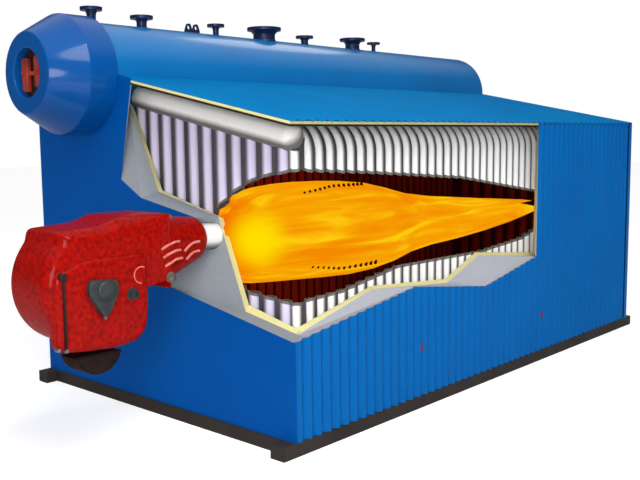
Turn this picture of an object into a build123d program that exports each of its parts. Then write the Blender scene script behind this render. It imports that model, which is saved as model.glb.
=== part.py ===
from build123d import *
import math
import os

os.makedirs("parts", exist_ok=True)

# Packaged water-tube boiler with a cut-away furnace, millimetres, +Z up.
# The origin is on the floor under the middle of the skid; the burner end faces -Y,
# the furnace side with the cut-away faces +X.

# Casing
half_w = 1575
half_l = 2750
skid_h = 100
eave_z = 2320
roof_slope = 0.203
sheet_t = 4
rib_pitch = 100
rib_depth = 25
roof_rib_depth = 14
board_t = 36
insulation_t = 165
lining_t = 60
trim_w = 60

# Skid
rail_w = 135
rail_over = 120
beam_w = 110

# Steam drum
drum_r = 445
drum_side_gap = 300
drum_wall = 16
hood_r = 490
hood_l = 250
hood_face_r = 326
hood_nose = 278
manhole_r = 195
manhole_depth = 88
fit_gap = 0.3

# Membrane tube walls
side_tube_r = 42
side_count = 40
front_tube_r = 52
front_count = 11
fin_t = 8
tube_wall_gap = 50
floor_t = 110
header_r = 100
header_drop = 178
roof_tube_drop = 105
bend_tangent = 180

# Burner
flame_tube_r = 105
burner_hole_r = 120
cone_r = 235
nose_r = 157
head_l = 400
housing_w = 500
housing_l = 900
housing_h = 850

roof_angle = math.degrees(math.atan(roof_slope))
run_cos = math.cos(math.radians(roof_angle))
run_sin = math.sin(math.radians(roof_angle))
casing_h = eave_z - skid_h
floor_z = skid_h + floor_t
drum_x = -half_w + drum_side_gap + drum_r
roof_start = drum_x + drum_r
roof_span = half_w - roof_start


def roof_z(x):
    return eave_z + roof_slope * (half_w - x)


drum_z = roof_z(roof_start) + 8
drum_top = drum_z + drum_r
left_eave = roof_z(roof_start) - roof_slope * drum_side_gap
front_y = -half_l
sheet_in = half_w - rib_depth - sheet_t
wall_mid = half_w - insulation_t
wall_in = wall_mid - lining_t
front_sheet_in = front_y + sheet_t
front_mid = front_y + insulation_t
front_in = front_mid + lining_t
board_top = roof_rib_depth + sheet_t
board_bottom = board_top + board_t
side_plane = wall_in - tube_wall_gap
front_plane = front_in + tube_wall_gap + 10
partition_plane = drum_x + 0.607 * drum_r
burner_x = roof_start + 0.49 * roof_span
burner_z = skid_h + 0.615 * casing_h


def left_roof_z(x):
    return left_eave + roof_slope * (half_w + x)


def across(share):
    # place along the roof span, 0 at the drum side and 1 at the right wall
    return roof_start + share * roof_span


def along(share):
    # place along the casing, -1 at the front wall and 1 at the rear wall
    return share * half_l


def up(share):
    # height share of the casing, 0 at the skid and 1 at the right eave
    return skid_h + share * casing_h


# Skid rails, with their ends standing past the casing
with BuildPart() as skid_left_rail:
    with Locations((-half_w + rail_w / 2, 0, skid_h / 2)):
        Box(rail_w, 2 * (half_l + rail_over), skid_h)
    chamfer(skid_left_rail.edges().filter_by(Axis.Y), 4)
skid_left_rail.part.label = "skid_left_rail"
export_step(skid_left_rail.part, "parts/skid_left_rail.step")

with BuildPart() as skid_right_rail:
    with Locations((half_w - rail_w / 2, 0, skid_h / 2)):
        Box(rail_w, 2 * (half_l + rail_over), skid_h)
    chamfer(skid_right_rail.edges().filter_by(Axis.Y), 4)
skid_right_rail.part.label = "skid_right_rail"
export_step(skid_right_rail.part, "parts/skid_right_rail.step")

beam_l = 2 * (half_w - rail_w)

with BuildPart() as skid_front_beam:
    with Locations((0, front_y - 15 + beam_w / 2, skid_h / 2)):
        Box(beam_l, beam_w, skid_h)
skid_front_beam.part.label = "skid_front_beam"
export_step(skid_front_beam.part, "parts/skid_front_beam.step")

with BuildPart() as skid_rear_beam:
    with Locations((0, half_l + 15 - beam_w / 2, skid_h / 2)):
        Box(beam_l, beam_w, skid_h)
skid_rear_beam.part.label = "skid_rear_beam"
export_step(skid_rear_beam.part, "parts/skid_rear_beam.step")

with BuildPart() as skid_cross_beams:
    for beam_y in (along(-0.49), 0, along(0.49)):
        with Locations((0, beam_y, skid_h / 2)):
            Box(beam_l, beam_w, skid_h)
skid_cross_beams.part.label = "skid_cross_beams"
export_step(skid_cross_beams.part, "parts/skid_cross_beams.step")

# Refractory floor slab between the wall linings
with BuildPart() as furnace_floor:
    with BuildSketch(Plane.XY.offset(skid_h)):
        with BuildLine():
            Polyline(
                (-sheet_in, front_in),
                (wall_in, front_in),
                (wall_in, half_l - insulation_t),
                (wall_mid, half_l - insulation_t),
                (wall_mid, half_l - sheet_t),
                (-sheet_in, half_l - sheet_t),
                close=True,
            )
        make_face()
    extrude(amount=floor_t)
furnace_floor.part.label = "furnace_floor"
export_step(furnace_floor.part, "parts/furnace_floor.step")

# Cut-away edges of the front wall from the roof down, as shares across and up, on the sheet,
# behind the insulation and behind the lining
front_edge_outer = [(0.106, None), (0.013, 0.799), (0.144, 0.736)]
front_edge_mid = [(-0.011, None), (-0.030, 1.086), (0.152, 0.755)]
front_edge_in = [(-0.045, None), (-0.053, 1.087), (0.139, 0.757)]
corner_k = 0.318

# Their last two points pass the flame tube, as distances from its right side and from its top
tube_edge_outer = [(-120, 42), (-450, -516)]
tube_edge_mid = [(-48, 42), (232, -651)]
tube_edge_in = [(-58, 23), (205, -613)]

# Cut-away edges of the right wall as shares along and up, from the front corner to the rear edge
side_edge_outer = [(-0.488, 0.4086), (-0.100, 0.346), (0.029, 0.375), (0.2276, 0.4207), (0.236, None)]
side_edge_mid = [(-0.626, 0.415), (-0.2455, 0.3757), (-0.0655, 0.4595), (0.334, 0.4036), (0.345, None)]
side_edge_in = [(-0.599, 0.4198), (-0.2244, 0.3851), (-0.0487, 0.468), (0.342, 0.417), (0.357, None)]


def front_points(edge, tube_edge):
    points = []
    for share_x, share_z in edge:
        x = across(share_x)
        z = roof_z(x) if share_z is None else up(share_z)
        points.append((x, z))
    for right, above in tube_edge:
        points.append((burner_x + flame_tube_r + right, burner_z + flame_tube_r + above))
    return points


def bevelled_layer(near, far):
    # solid between two outlines with as many points each, its slanting edge faces split in flat triangles
    faces = [Face(Wire.make_polygon(near)), Face(Wire.make_polygon(far))]
    for i in range(len(near)):
        j = (i + 1) % len(near)
        faces.append(Face(Wire.make_polygon((near[i], near[j], far[j]))))
        faces.append(Face(Wire.make_polygon((near[i], far[j], far[i]))))
    return Solid(Shell(faces))


def frustum(plane, near_r, far_r, length, count):
    # many-sided cone piece that starts on the plane and runs along its normal
    rings = []
    for start, radius in ((plane, near_r), (plane.offset(length), far_r)):
        turns = [2 * math.pi * i / count for i in range(count)]
        local = [Vector(radius * math.cos(a), radius * math.sin(a), 0) for a in turns]
        rings.append([start.from_local_coords(point) for point in local])
    return bevelled_layer(rings[0], rings[1])


front_outer = front_points(front_edge_outer, tube_edge_outer)
front_middle = front_points(front_edge_mid, tube_edge_mid)
front_inner = front_points(front_edge_in, tube_edge_in)

# Flat front sheet, notched for the drum and opened round the burner
with BuildPart() as front_cladding:
    with BuildSketch(Plane.XZ.offset(-front_y)):
        with BuildLine():
            Polyline(
                (-half_w, skid_h),
                (half_w, skid_h),
                (half_w, up(corner_k)),
                front_outer[4],
                front_outer[3],
                front_outer[2],
                front_outer[1],
                front_outer[0],
                (roof_start, roof_z(roof_start)),
                (drum_x - drum_r, roof_z(roof_start)),
                (-half_w, left_eave),
                close=True,
            )
        make_face()
        with Locations((drum_x, drum_z)):
            Circle(drum_r + fit_gap, mode=Mode.SUBTRACT)
        with Locations((burner_x, burner_z)):
            Circle(burner_hole_r, mode=Mode.SUBTRACT)
    extrude(amount=-sheet_t)
front_cladding.part.label = "front_cladding"
export_step(front_cladding.part, "parts/front_cladding.step")


def front_left_outline(edge, y):
    # standing part of a front layer left of the cut, its top under the roof board and open under the drum
    top_x = edge[0][0]
    flat = [
        (-sheet_in, skid_h),
        (edge[4][0], skid_h),
        edge[4],
        edge[3],
        edge[2],
        edge[1],
        (top_x, roof_z(top_x) - board_bottom),
        (drum_x + 0.67 * drum_r, roof_z(drum_x + 0.67 * drum_r) - board_bottom),
        (drum_x - 0.67 * drum_r, left_roof_z(drum_x - 0.67 * drum_r) - board_bottom),
        (-sheet_in, left_roof_z(-sheet_in) - board_bottom),
    ]
    return [(x, y, z) for x, z in flat]


def front_right_outline(edge, right, right_z, y):
    # strip of a front layer below the cut, up to the right corner
    flat = [(edge[4][0], skid_h), (right, skid_h), (right, right_z), edge[4]]
    return [(x, y, z) for x, z in flat]


# Grey insulation behind the front sheet: the standing part left of the cut and the strip below it
with BuildPart() as front_insulation:
    add(bevelled_layer(front_left_outline(front_outer, front_sheet_in), front_left_outline(front_middle, front_mid)))
    with BuildSketch(Plane.XZ.offset(-front_y)):
        with Locations((drum_x, drum_z)):
            Circle(drum_r + fit_gap)
        with Locations((burner_x, burner_z)):
            RegularPolygon(flame_tube_r + 2 * fit_gap, 24)
    extrude(amount=-2 * insulation_t, mode=Mode.SUBTRACT)
front_insulation.part.label = "front_insulation"
export_step(front_insulation.part, "parts/front_insulation.step")

with BuildPart() as front_lower_insulation:
    add(
        bevelled_layer(
            front_right_outline(front_outer, sheet_in, up(0.320), front_sheet_in),
            front_right_outline(front_middle, sheet_in, up(0.316), front_mid),
        )
    )
front_lower_insulation.part.label = "front_lower_insulation"
export_step(front_lower_insulation.part, "parts/front_lower_insulation.step")

# Cream lining board behind the front insulation
with BuildPart() as front_lining:
    add(bevelled_layer(front_left_outline(front_middle, front_mid), front_left_outline(front_inner, front_in)))
    with BuildSketch(Plane.XZ.offset(-front_y)):
        with Locations((drum_x, drum_z)):
            Circle(drum_r + fit_gap)
        with Locations((burner_x, burner_z)):
            RegularPolygon(flame_tube_r + 2 * fit_gap, 24)
    extrude(amount=-2 * (insulation_t + lining_t), mode=Mode.SUBTRACT)
front_lining.part.label = "front_lining"
export_step(front_lining.part, "parts/front_lining.step")

with BuildPart() as front_lower_lining:
    add(
        bevelled_layer(
            front_right_outline(front_middle, wall_mid, up(0.324), front_mid),
            front_right_outline(front_inner, wall_mid, up(0.331), front_in),
        )
    )
front_lower_lining.part.label = "front_lower_lining"
export_step(front_lower_lining.part, "parts/front_lower_lining.step")


def ribbed_outline(start, end, crest, depth, pitch=rib_pitch):
    # zigzag ribs along one wall, a sheet of even thickness whose outermost value is the crest
    count = round((end - start) / pitch)
    step = (end - start) / count
    outer = [(start, crest - depth)]
    for i in range(count):
        outer.append((start + (i + 0.5) * step, crest))
        outer.append((start + (i + 1) * step, crest - depth))
    inner = [(u, v - sheet_t) for u, v in reversed(outer)]
    return outer + inner


sheet_seam = along(side_edge_outer[4][0])
sheet_end = half_l - sheet_t
side_cut = [(along(share_y), up(share_z)) for share_y, share_z in side_edge_outer[:4]]

# Ribbed right sheet: the strip under the cut-away and the whole part behind it
with BuildPart() as right_lower_cladding:
    with BuildSketch(Plane.XY.offset(skid_h)):
        with BuildLine():
            Polyline(
                *[(v, u) for u, v in ribbed_outline(front_sheet_in, sheet_seam, half_w, rib_depth)],
                close=True,
            )
        make_face()
    extrude(amount=0.47 * casing_h)
    with BuildSketch(Plane.YZ.offset(half_w + 10)):
        with BuildLine():
            Polyline(
                (front_y - 10, up(corner_k) - 1),
                side_cut[0],
                side_cut[1],
                side_cut[3],
                (sheet_seam + 10, side_cut[3][1]),
                (sheet_seam + 10, up(0.5)),
                (front_y - 10, up(0.5)),
                close=True,
            )
        make_face()
    extrude(amount=-4 * rib_depth, mode=Mode.SUBTRACT)
right_lower_cladding.part.label = "right_lower_cladding"
export_step(right_lower_cladding.part, "parts/right_lower_cladding.step")

right_sheet_top = eave_z - board_top / run_cos - fit_gap
with BuildPart() as right_rear_cladding:
    with BuildSketch(Plane.XY.offset(skid_h)):
        with BuildLine():
            Polyline(
                *[(v, u) for u, v in ribbed_outline(sheet_seam, sheet_end - trim_w, half_w, rib_depth)],
                close=True,
            )
        make_face()
    extrude(amount=right_sheet_top - skid_h)
right_rear_cladding.part.label = "right_rear_cladding"
export_step(right_rear_cladding.part, "parts/right_rear_cladding.step")

# Flat corner trim that closes the ribs at the rear right edge
with BuildPart() as rear_corner_trim:
    with BuildSketch(Plane.XY.offset(skid_h)):
        with BuildLine():
            Polyline(
                (half_w, sheet_end - trim_w),
                (half_w, sheet_end),
                (sheet_in, sheet_end),
                (sheet_in, sheet_end - sheet_t),
                (half_w - sheet_t, sheet_end - sheet_t),
                (half_w - sheet_t, sheet_end - trim_w),
                close=True,
            )
        make_face()
    extrude(amount=right_sheet_top - skid_h)
rear_corner_trim.part.label = "rear_corner_trim"
export_step(rear_corner_trim.part, "parts/rear_corner_trim.step")

side_top = roof_z(sheet_in) - board_bottom - fit_gap


def side_lower_outline(edge, start, start_z, x):
    # strip of a right wall layer below the cut
    flat = [(start, skid_h), (along(edge[3][0]), skid_h)]
    flat = flat + [(along(share_y), up(share_z)) for share_y, share_z in reversed(edge[:4])]
    flat.append((start, start_z))
    return [(x, y, z) for y, z in flat]


def side_rear_outline(edge, end, x):
    # whole part of a right wall layer behind the cut
    flat = [
        (along(edge[3][0]), skid_h),
        (end, skid_h),
        (end, side_top),
        (along(edge[4][0]), side_top),
        (along(edge[3][0]), up(edge[3][1])),
    ]
    return [(x, y, z) for y, z in flat]


with BuildPart() as right_lower_insulation:
    add(
        bevelled_layer(
            side_lower_outline(side_edge_outer, front_mid, up(0.327), sheet_in),
            side_lower_outline(side_edge_mid, front_mid, up(0.316), wall_mid),
        )
    )
right_lower_insulation.part.label = "right_lower_insulation"
export_step(right_lower_insulation.part, "parts/right_lower_insulation.step")

with BuildPart() as right_rear_insulation:
    add(
        bevelled_layer(
            side_rear_outline(side_edge_outer, sheet_end - sheet_t, sheet_in),
            side_rear_outline(side_edge_mid, sheet_end - sheet_t, wall_mid),
        )
    )
right_rear_insulation.part.label = "right_rear_insulation"
export_step(right_rear_insulation.part, "parts/right_rear_insulation.step")

with BuildPart() as right_lower_lining:
    add(
        bevelled_layer(
            side_lower_outline(side_edge_mid, front_in, up(0.323), wall_mid),
            side_lower_outline(side_edge_in, front_in, up(0.330), wall_in),
        )
    )
right_lower_lining.part.label = "right_lower_lining"
export_step(right_lower_lining.part, "parts/right_lower_lining.step")

with BuildPart() as right_rear_lining:
    add(
        bevelled_layer(
            side_rear_outline(side_edge_mid, half_l - insulation_t, wall_mid),
            side_rear_outline(side_edge_in, half_l - insulation_t, wall_in),
        )
    )
right_rear_lining.part.label = "right_rear_lining"
export_step(right_rear_lining.part, "parts/right_rear_lining.step")

# Hidden left and rear sheets, which repeat the right and the front ones
with BuildPart() as left_cladding:
    with BuildSketch(Plane.XY.offset(skid_h)):
        with BuildLine():
            Polyline(
                *[(-v, u) for u, v in ribbed_outline(front_sheet_in, sheet_end, half_w, rib_depth, 2 * rib_pitch)],
                close=True,
            )
        make_face()
    extrude(amount=left_eave - sheet_t / run_cos - fit_gap - skid_h)
left_cladding.part.label = "left_cladding"
export_step(left_cladding.part, "parts/left_cladding.step")

with BuildPart() as rear_cladding:
    with BuildSketch(Plane.XZ.offset(-half_l)):
        with BuildLine():
            Polyline(
                (-half_w, skid_h),
                (half_w, skid_h),
                (half_w, roof_z(half_w)),
                (roof_start, roof_z(roof_start)),
                (drum_x - drum_r, roof_z(roof_start)),
                (-half_w, left_eave),
                close=True,
            )
        make_face()
        with Locations((drum_x, drum_z)):
            Circle(drum_r + fit_gap, mode=Mode.SUBTRACT)
    extrude(amount=sheet_t)
rear_cladding.part.label = "rear_cladding"
export_step(rear_cladding.part, "parts/rear_cladding.step")

# Ribbed roof sheet with a cream board under it, from the drum down to the right eave
roof_plane = Plane(origin=(half_w, 0, eave_z), x_dir=(0, -1, 0), z_dir=(-run_cos, 0, run_sin))
with BuildPart() as roof_right_cladding:
    with BuildSketch(roof_plane):
        with BuildLine():
            Polyline(*ribbed_outline(front_sheet_in, sheet_end, 0, roof_rib_depth), close=True)
        make_face()
    extrude(amount=roof_span / run_cos - 8)
roof_right_cladding.part.label = "roof_right_cladding"
export_step(roof_right_cladding.part, "parts/roof_right_cladding.step")

with BuildPart() as roof_board:
    with BuildSketch(Plane.XZ.offset(-front_sheet_in)):
        with BuildLine():
            Polyline(
                (sheet_in, roof_z(sheet_in) - board_top / run_cos - fit_gap),
                (roof_start + 10, roof_z(roof_start + 10) - board_top / run_cos - fit_gap),
                (roof_start + 10, roof_z(roof_start + 10) - board_bottom),
                (sheet_in, roof_z(sheet_in) - board_bottom),
                close=True,
            )
        make_face()
    extrude(amount=-2 * sheet_end)
roof_board.part.label = "roof_board"
export_step(roof_board.part, "parts/roof_board.step")

# Narrow flat roof strip between the drum and the left wall
with BuildPart() as roof_left_cladding:
    with BuildSketch(Plane.XZ.offset(-front_sheet_in)):
        with BuildLine():
            Polyline(
                (-half_w, left_eave),
                (drum_x - drum_r - 4, left_roof_z(drum_x - drum_r - 4)),
                (drum_x - drum_r - 4, left_roof_z(drum_x - drum_r - 4) - sheet_t / run_cos),
                (-half_w, left_eave - sheet_t / run_cos),
                close=True,
            )
        make_face()
    extrude(amount=-2 * sheet_end)
roof_left_cladding.part.label = "roof_left_cladding"
export_step(roof_left_cladding.part, "parts/roof_left_cladding.step")

# Membrane tube walls: rows of few-sided tubes joined by flat fins
side_end = half_l - 443
side_pitch = 2 * side_end / (side_count - 1)
front_first = partition_plane + 135
front_last = side_plane - 87
front_pitch = (front_last - front_first) / (front_count - 1)
front_centre = (front_first + front_last) / 2
roof_corner = (side_plane, roof_z(side_plane) - roof_tube_drop)
side_wall_top = roof_corner[1] - bend_tangent
bend_end = (roof_corner[0] - bend_tangent * run_cos, roof_corner[1] + bend_tangent * run_sin)

# Flame window torn through the right tubes, shares along and up
side_window = [
    (-0.95, 0.8446),
    (-0.588, 0.8194),
    (-0.119, 0.778),
    (0.145, 0.7315),
    (0.37, 0.692),
    (0.545, 0.599),
    (0.436, 0.536),
    (0.277, 0.4887),
    (0.011, 0.4649),
    (-0.457, 0.4685),
    (-0.716, 0.4194),
    (-0.95, 0.410),
]

with BuildPart() as right_tube_wall:
    with BuildSketch(Plane.XY.offset(floor_z)):
        with Locations((side_plane, 0)):
            Rectangle(fin_t, 2 * side_end)
            with GridLocations(1, side_pitch, 1, side_count):
                RegularPolygon(side_tube_r, 4)
    extrude(amount=side_wall_top - floor_z)
    with BuildSketch(Plane.YZ.offset(side_plane + 2 * side_tube_r)):
        with BuildLine():
            Polyline(*[(along(share_y), up(share_z)) for share_y, share_z in side_window], close=True)
        make_face()
    extrude(amount=-4 * side_tube_r, mode=Mode.SUBTRACT)
right_tube_wall.part.label = "right_tube_wall"
export_step(right_tube_wall.part, "parts/right_tube_wall.step")

# The same tubes bent over into the roof, their ends against the drum
run_to_drum = (roof_corner[0] - drum_x) * run_cos + (drum_z - roof_corner[1]) * run_sin - drum_r - 0.5
run_end = (roof_corner[0] - run_to_drum * run_cos, 0, roof_corner[1] + run_to_drum * run_sin)
with BuildPart() as roof_tube_panel:
    with BuildLine():
        Polyline(
            (side_plane, 0, side_wall_top),
            (bend_end[0], 0, bend_end[1]),
            (run_end[0] - 100 * run_cos, 0, run_end[2] + 100 * run_sin),
        )
    with BuildSketch(Plane.XY.offset(side_wall_top)):
        with Locations((side_plane, 0)):
            Rectangle(fin_t, 2 * side_end)
            with GridLocations(1, side_pitch, 1, side_count):
                RegularPolygon(side_tube_r, 4)
    sweep(transition=Transition.RIGHT)
    with BuildSketch(Plane(origin=run_end, x_dir=(0, 1, 0), z_dir=(-run_cos, 0, run_sin))):
        Rectangle(2 * half_l, 8 * side_tube_r)
    extrude(amount=300, mode=Mode.SUBTRACT)
roof_tube_panel.part.label = "roof_tube_panel"
export_step(roof_tube_panel.part, "parts/roof_tube_panel.step")

# Inclined front header with a blunt end
header_end = side_plane + 60
header_plane = Plane(
    origin=(header_end, front_plane, roof_z(header_end) - header_drop),
    x_dir=(0, 1, 0),
    z_dir=(-run_cos, 0, run_sin),
)
with BuildPart() as front_header:
    add(frustum(header_plane, 0.58 * header_r, header_r, 0.42 * header_r, 24))
    with BuildSketch(header_plane.offset(0.42 * header_r)):
        RegularPolygon(header_r, 24)
    extrude(amount=roof_span + 2 * header_r)
    with BuildSketch(Plane.XZ.offset(half_l)):
        with Locations((drum_x, drum_z)):
            Circle(drum_r + fit_gap)
    extrude(amount=-2 * half_l, mode=Mode.SUBTRACT)
front_header.part.label = "front_header"
export_step(front_header.part, "parts/front_header.step")

# Flame window in the front tubes, shares across and up, open to the right corner
front_window = [
    (0.416, 0.5856),
    (0.428, 0.681),
    (0.4786, 0.7158),
    (0.5536, 0.7622),
    (0.649, 0.8023),
    (0.921, 0.8446),
    (0.921, 0.4068),
    (0.664, 0.4225),
    (0.5026, 0.455),
]

with BuildPart() as front_tube_wall:
    with BuildSketch(Plane.XY.offset(floor_z)):
        with Locations((front_centre, front_plane)):
            Rectangle(front_last - front_first, fin_t)
            with GridLocations(front_pitch, 1, front_count, 1):
                RegularPolygon(front_tube_r, 8, rotation=22.5)
    extrude(amount=1.2 * casing_h)
    # the tubes end under the inclined header
    header_low = header_drop + header_r / run_cos + fit_gap
    with BuildSketch(Plane.XZ.offset(half_l)):
        with BuildLine():
            Polyline(
                (drum_x, roof_z(drum_x) - header_low),
                (half_w, roof_z(half_w) - header_low),
                (half_w, 2 * eave_z),
                (drum_x, 2 * eave_z),
                close=True,
            )
        make_face()
        with Locations((drum_x, drum_z)):
            Circle(drum_r + fit_gap)
    extrude(amount=-2 * half_l, mode=Mode.SUBTRACT)
    with BuildSketch(Plane.XZ.offset(half_l)):
        with BuildLine():
            Polyline(*[(across(share_x), up(share_z)) for share_x, share_z in front_window], close=True)
        make_face()
    extrude(amount=-2 * half_l, mode=Mode.SUBTRACT)
front_tube_wall.part.label = "front_tube_wall"
export_step(front_tube_wall.part, "parts/front_tube_wall.step")

# Single corner tube below the header end, torn by the same window
with BuildPart() as corner_tube:
    with BuildSketch(Plane.XY.offset(floor_z)):
        with Locations((side_plane, front_plane + 20)):
            RegularPolygon(side_tube_r, 8, rotation=22.5)
    extrude(amount=up(0.408) - floor_z)
    with BuildSketch(Plane.XY.offset(up(0.8405))):
        with Locations((side_plane, front_plane + 20)):
            RegularPolygon(side_tube_r, 8, rotation=22.5)
    extrude(amount=0.1 * casing_h)
    with BuildSketch(header_plane):
        Circle(header_r + fit_gap)
    extrude(amount=4 * header_r, mode=Mode.SUBTRACT)
corner_tube.part.label = "corner_tube"
export_step(corner_tube.part, "parts/corner_tube.step")

# Partition tubes that carry the drum, and the rear tube wall
partition_left = partition_plane - side_tube_r - drum_x
partition_top = drum_z - math.sqrt(drum_r**2 - partition_left**2) - fit_gap
with BuildPart() as partition_tube_wall:
    with BuildSketch(Plane.XY.offset(floor_z)):
        with Locations((partition_plane, 0)):
            Rectangle(fin_t, 2 * side_end)
            with GridLocations(1, side_pitch, 1, side_count):
                RegularPolygon(side_tube_r, 4)
    extrude(amount=partition_top - floor_z)
partition_tube_wall.part.label = "partition_tube_wall"
export_step(partition_tube_wall.part, "parts/partition_tube_wall.step")

with BuildPart() as rear_tube_wall:
    with BuildSketch(Plane.XY.offset(floor_z)):
        with Locations((front_centre, -front_plane)):
            Rectangle(front_last - front_first, fin_t)
            with GridLocations(front_pitch, 1, front_count, 1):
                RegularPolygon(front_tube_r, 4)
    extrude(amount=1.2 * casing_h)
    with BuildSketch(Plane.XZ.offset(half_l)):
        with BuildLine():
            Polyline(
                (drum_x, roof_z(drum_x) - board_bottom - fit_gap),
                (half_w, roof_z(half_w) - board_bottom - fit_gap),
                (half_w, 2 * eave_z),
                (drum_x, 2 * eave_z),
                close=True,
            )
        make_face()
        with Locations((drum_x, drum_z)):
            Circle(drum_r + fit_gap)
    extrude(amount=-2 * half_l, mode=Mode.SUBTRACT)
rear_tube_wall.part.label = "rear_tube_wall"
export_step(rear_tube_wall.part, "parts/rear_tube_wall.step")

# Nozzles along the top of the drum: place along, pipe radius, flange radius, flange thickness,
# height of the flange face above the drum
nozzles = [
    (-0.9655, 38, 92, 32, 130),
    (-0.7785, 44.5, 100, 32, 105),
    (-0.4647, 28.5, 82, 28, 105),
    (-0.2309, 109.5, 170, 34, 125),
    (-0.0142, 38, 92, 28, 90),
    (0.2716, 79.5, 142, 32, 120),
    (0.4098, 22.5, 75, 26, 105),
]
pipe_wall = 6
pipe_sunk = 40

# Drum shell with its sloping rear end and the nozzle openings
drum_front = front_y - 0.8 * hood_l
rear_plane = Plane(origin=(drum_x, half_l, drum_z), x_dir=(1, 0, 0), z_dir=(0, 1, 0))
with BuildPart() as steam_drum_shell:
    with BuildSketch(Plane.XZ.offset(-drum_front)):
        with Locations((drum_x, drum_z)):
            Circle(drum_r)
    extrude(amount=-(half_l - drum_front))
    add(frustum(rear_plane, drum_r, 0.96 * drum_r, 0.17 * drum_r, 40))
    add(frustum(rear_plane.offset(0.17 * drum_r), 0.96 * drum_r, 0.55 * drum_r, 0.26 * drum_r, 40))
    with BuildSketch(Plane.XZ.offset(-drum_front - drum_wall)):
        with Locations((drum_x, drum_z)):
            RegularPolygon(drum_r - drum_wall, 24, rotation=7.5)
    extrude(amount=-(half_l - drum_front - 2 * drum_wall), mode=Mode.SUBTRACT)
    with BuildSketch(Plane.XY.offset(drum_z)):
        for place, pipe_r, flange_r, flange_t, height in nozzles:
            with Locations((drum_x, along(place))):
                Circle(pipe_r + fit_gap)
    extrude(amount=2 * drum_r, mode=Mode.SUBTRACT)
steam_drum_shell.part.label = "steam_drum_shell"
export_step(steam_drum_shell.part, "parts/steam_drum_shell.step")

# Seven weld-neck nozzles set into the shell, with round bores, and many-sided pipes, hubs and flanges
with BuildPart() as drum_nozzles:
    for place, pipe_r, flange_r, flange_t, height in nozzles:
        face = Plane(origin=(drum_x, along(place), drum_top + height))
        under = Plane(origin=face.offset(-flange_t).origin, x_dir=(1, 0, 0), z_dir=(0, 0, -1))
        with BuildSketch(face):
            RegularPolygon(pipe_r, 16)
        extrude(amount=-height - pipe_sunk)
        with BuildSketch(face):
            RegularPolygon(flange_r, 16)
        extrude(amount=-flange_t)
        add(frustum(under, 1.35 * pipe_r, pipe_r, 0.4 * (height - flange_t), 16))
        with BuildSketch(face):
            Circle(pipe_r - pipe_wall)
        extrude(amount=-height - pipe_sunk, mode=Mode.SUBTRACT)
drum_nozzles.part.label = "drum_nozzles"
export_step(drum_nozzles.part, "parts/drum_nozzles.step")

# Two lifting lugs between the nozzles
with BuildPart() as lifting_lugs:
    for place in (-0.5866, -0.5550):
        lug_y = along(place)
        with BuildSketch(Plane.YZ.offset(drum_x - 12)):
            with BuildLine():
                Polyline(
                    (lug_y - 41, drum_top + 0.2),
                    (lug_y - 41, drum_top + 18),
                    (lug_y - 22, drum_top + 70),
                    (lug_y - 8, drum_top + 82),
                    (lug_y + 8, drum_top + 82),
                    (lug_y + 22, drum_top + 70),
                    (lug_y + 41, drum_top + 18),
                    (lug_y + 41, drum_top + 0.2),
                    close=True,
                )
            make_face()
            with Locations((lug_y, drum_top + 46)):
                Circle(19, mode=Mode.SUBTRACT)
        extrude(amount=24)
lifting_lugs.part.label = "lifting_lugs"
export_step(lifting_lugs.part, "parts/lifting_lugs.step")

# Insulated hood over the front end of the drum: jacket, sloping nose and flat face with the manhole well
hood_plane = Plane(origin=(drum_x, front_y, drum_z), x_dir=(1, 0, 0), z_dir=(0, -1, 0))
with BuildPart() as drum_front_hood:
    with BuildSketch(hood_plane):
        RegularPolygon(hood_r, 40)
    extrude(amount=hood_l)
    add(frustum(hood_plane.offset(hood_l), hood_r, hood_face_r, hood_nose, 40))
    with BuildSketch(hood_plane):
        RegularPolygon(drum_r + fit_gap, 40, major_radius=False)
    extrude(amount=front_y - drum_front + fit_gap, mode=Mode.SUBTRACT)
    with BuildSketch(hood_plane.offset(hood_l + hood_nose)):
        RegularPolygon(manhole_r, 24)
    extrude(amount=-manhole_depth, mode=Mode.SUBTRACT)
drum_front_hood.part.label = "drum_front_hood"
export_step(drum_front_hood.part, "parts/drum_front_hood.step")

cover_t = 24
well_end = front_y - hood_l - hood_nose + manhole_depth
with BuildPart() as manhole_cover:
    with BuildSketch(Plane.XZ.offset(-well_end)):
        with Locations((drum_x, drum_z)):
            RegularPolygon(manhole_r - fit_gap, 24)
    extrude(amount=cover_t)
manhole_cover.part.label = "manhole_cover"
export_step(manhole_cover.part, "parts/manhole_cover.step")

# Two upright yoke bars and their cross bar on the cover
with BuildPart() as manhole_yokes:
    with BuildSketch(Plane.XZ.offset(cover_t - well_end)):
        with Locations((drum_x - 0.4 * manhole_r, drum_z - 0.06 * manhole_r)):
            Rectangle(0.42 * manhole_r, 1.36 * manhole_r)
        with Locations((drum_x + 0.5 * manhole_r, drum_z + 0.06 * manhole_r)):
            Rectangle(0.3 * manhole_r, 1.26 * manhole_r)
        with Locations((drum_x, drum_z)):
            Rectangle(1.1 * manhole_r, 0.16 * manhole_r)
    extrude(amount=34)
manhole_yokes.part.label = "manhole_yokes"
export_step(manhole_yokes.part, "parts/manhole_yokes.step")

# Burner: flame tube seated in the front wall, tapered head with its flange, scroll housing and fittings
flange_t = 20
nose_bevel = 25
cone_end = front_y - 15
nose_y = cone_end - nose_bevel
cone_back = nose_y - head_l
flange_back = cone_back - flange_t
with BuildPart() as burner_flame_tube:
    with BuildSketch(Plane.XZ.offset(-cone_end)):
        with Locations((burner_x, burner_z)):
            RegularPolygon(flame_tube_r, 24)
            RegularPolygon(flame_tube_r - 8, 24, mode=Mode.SUBTRACT)
    extrude(amount=-(front_in - cone_end))
burner_flame_tube.part.label = "burner_flame_tube"
export_step(burner_flame_tube.part, "parts/burner_flame_tube.step")


def back(share):
    # place behind the burner flange, as a share of the housing length
    return flange_back - share * housing_l


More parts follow.
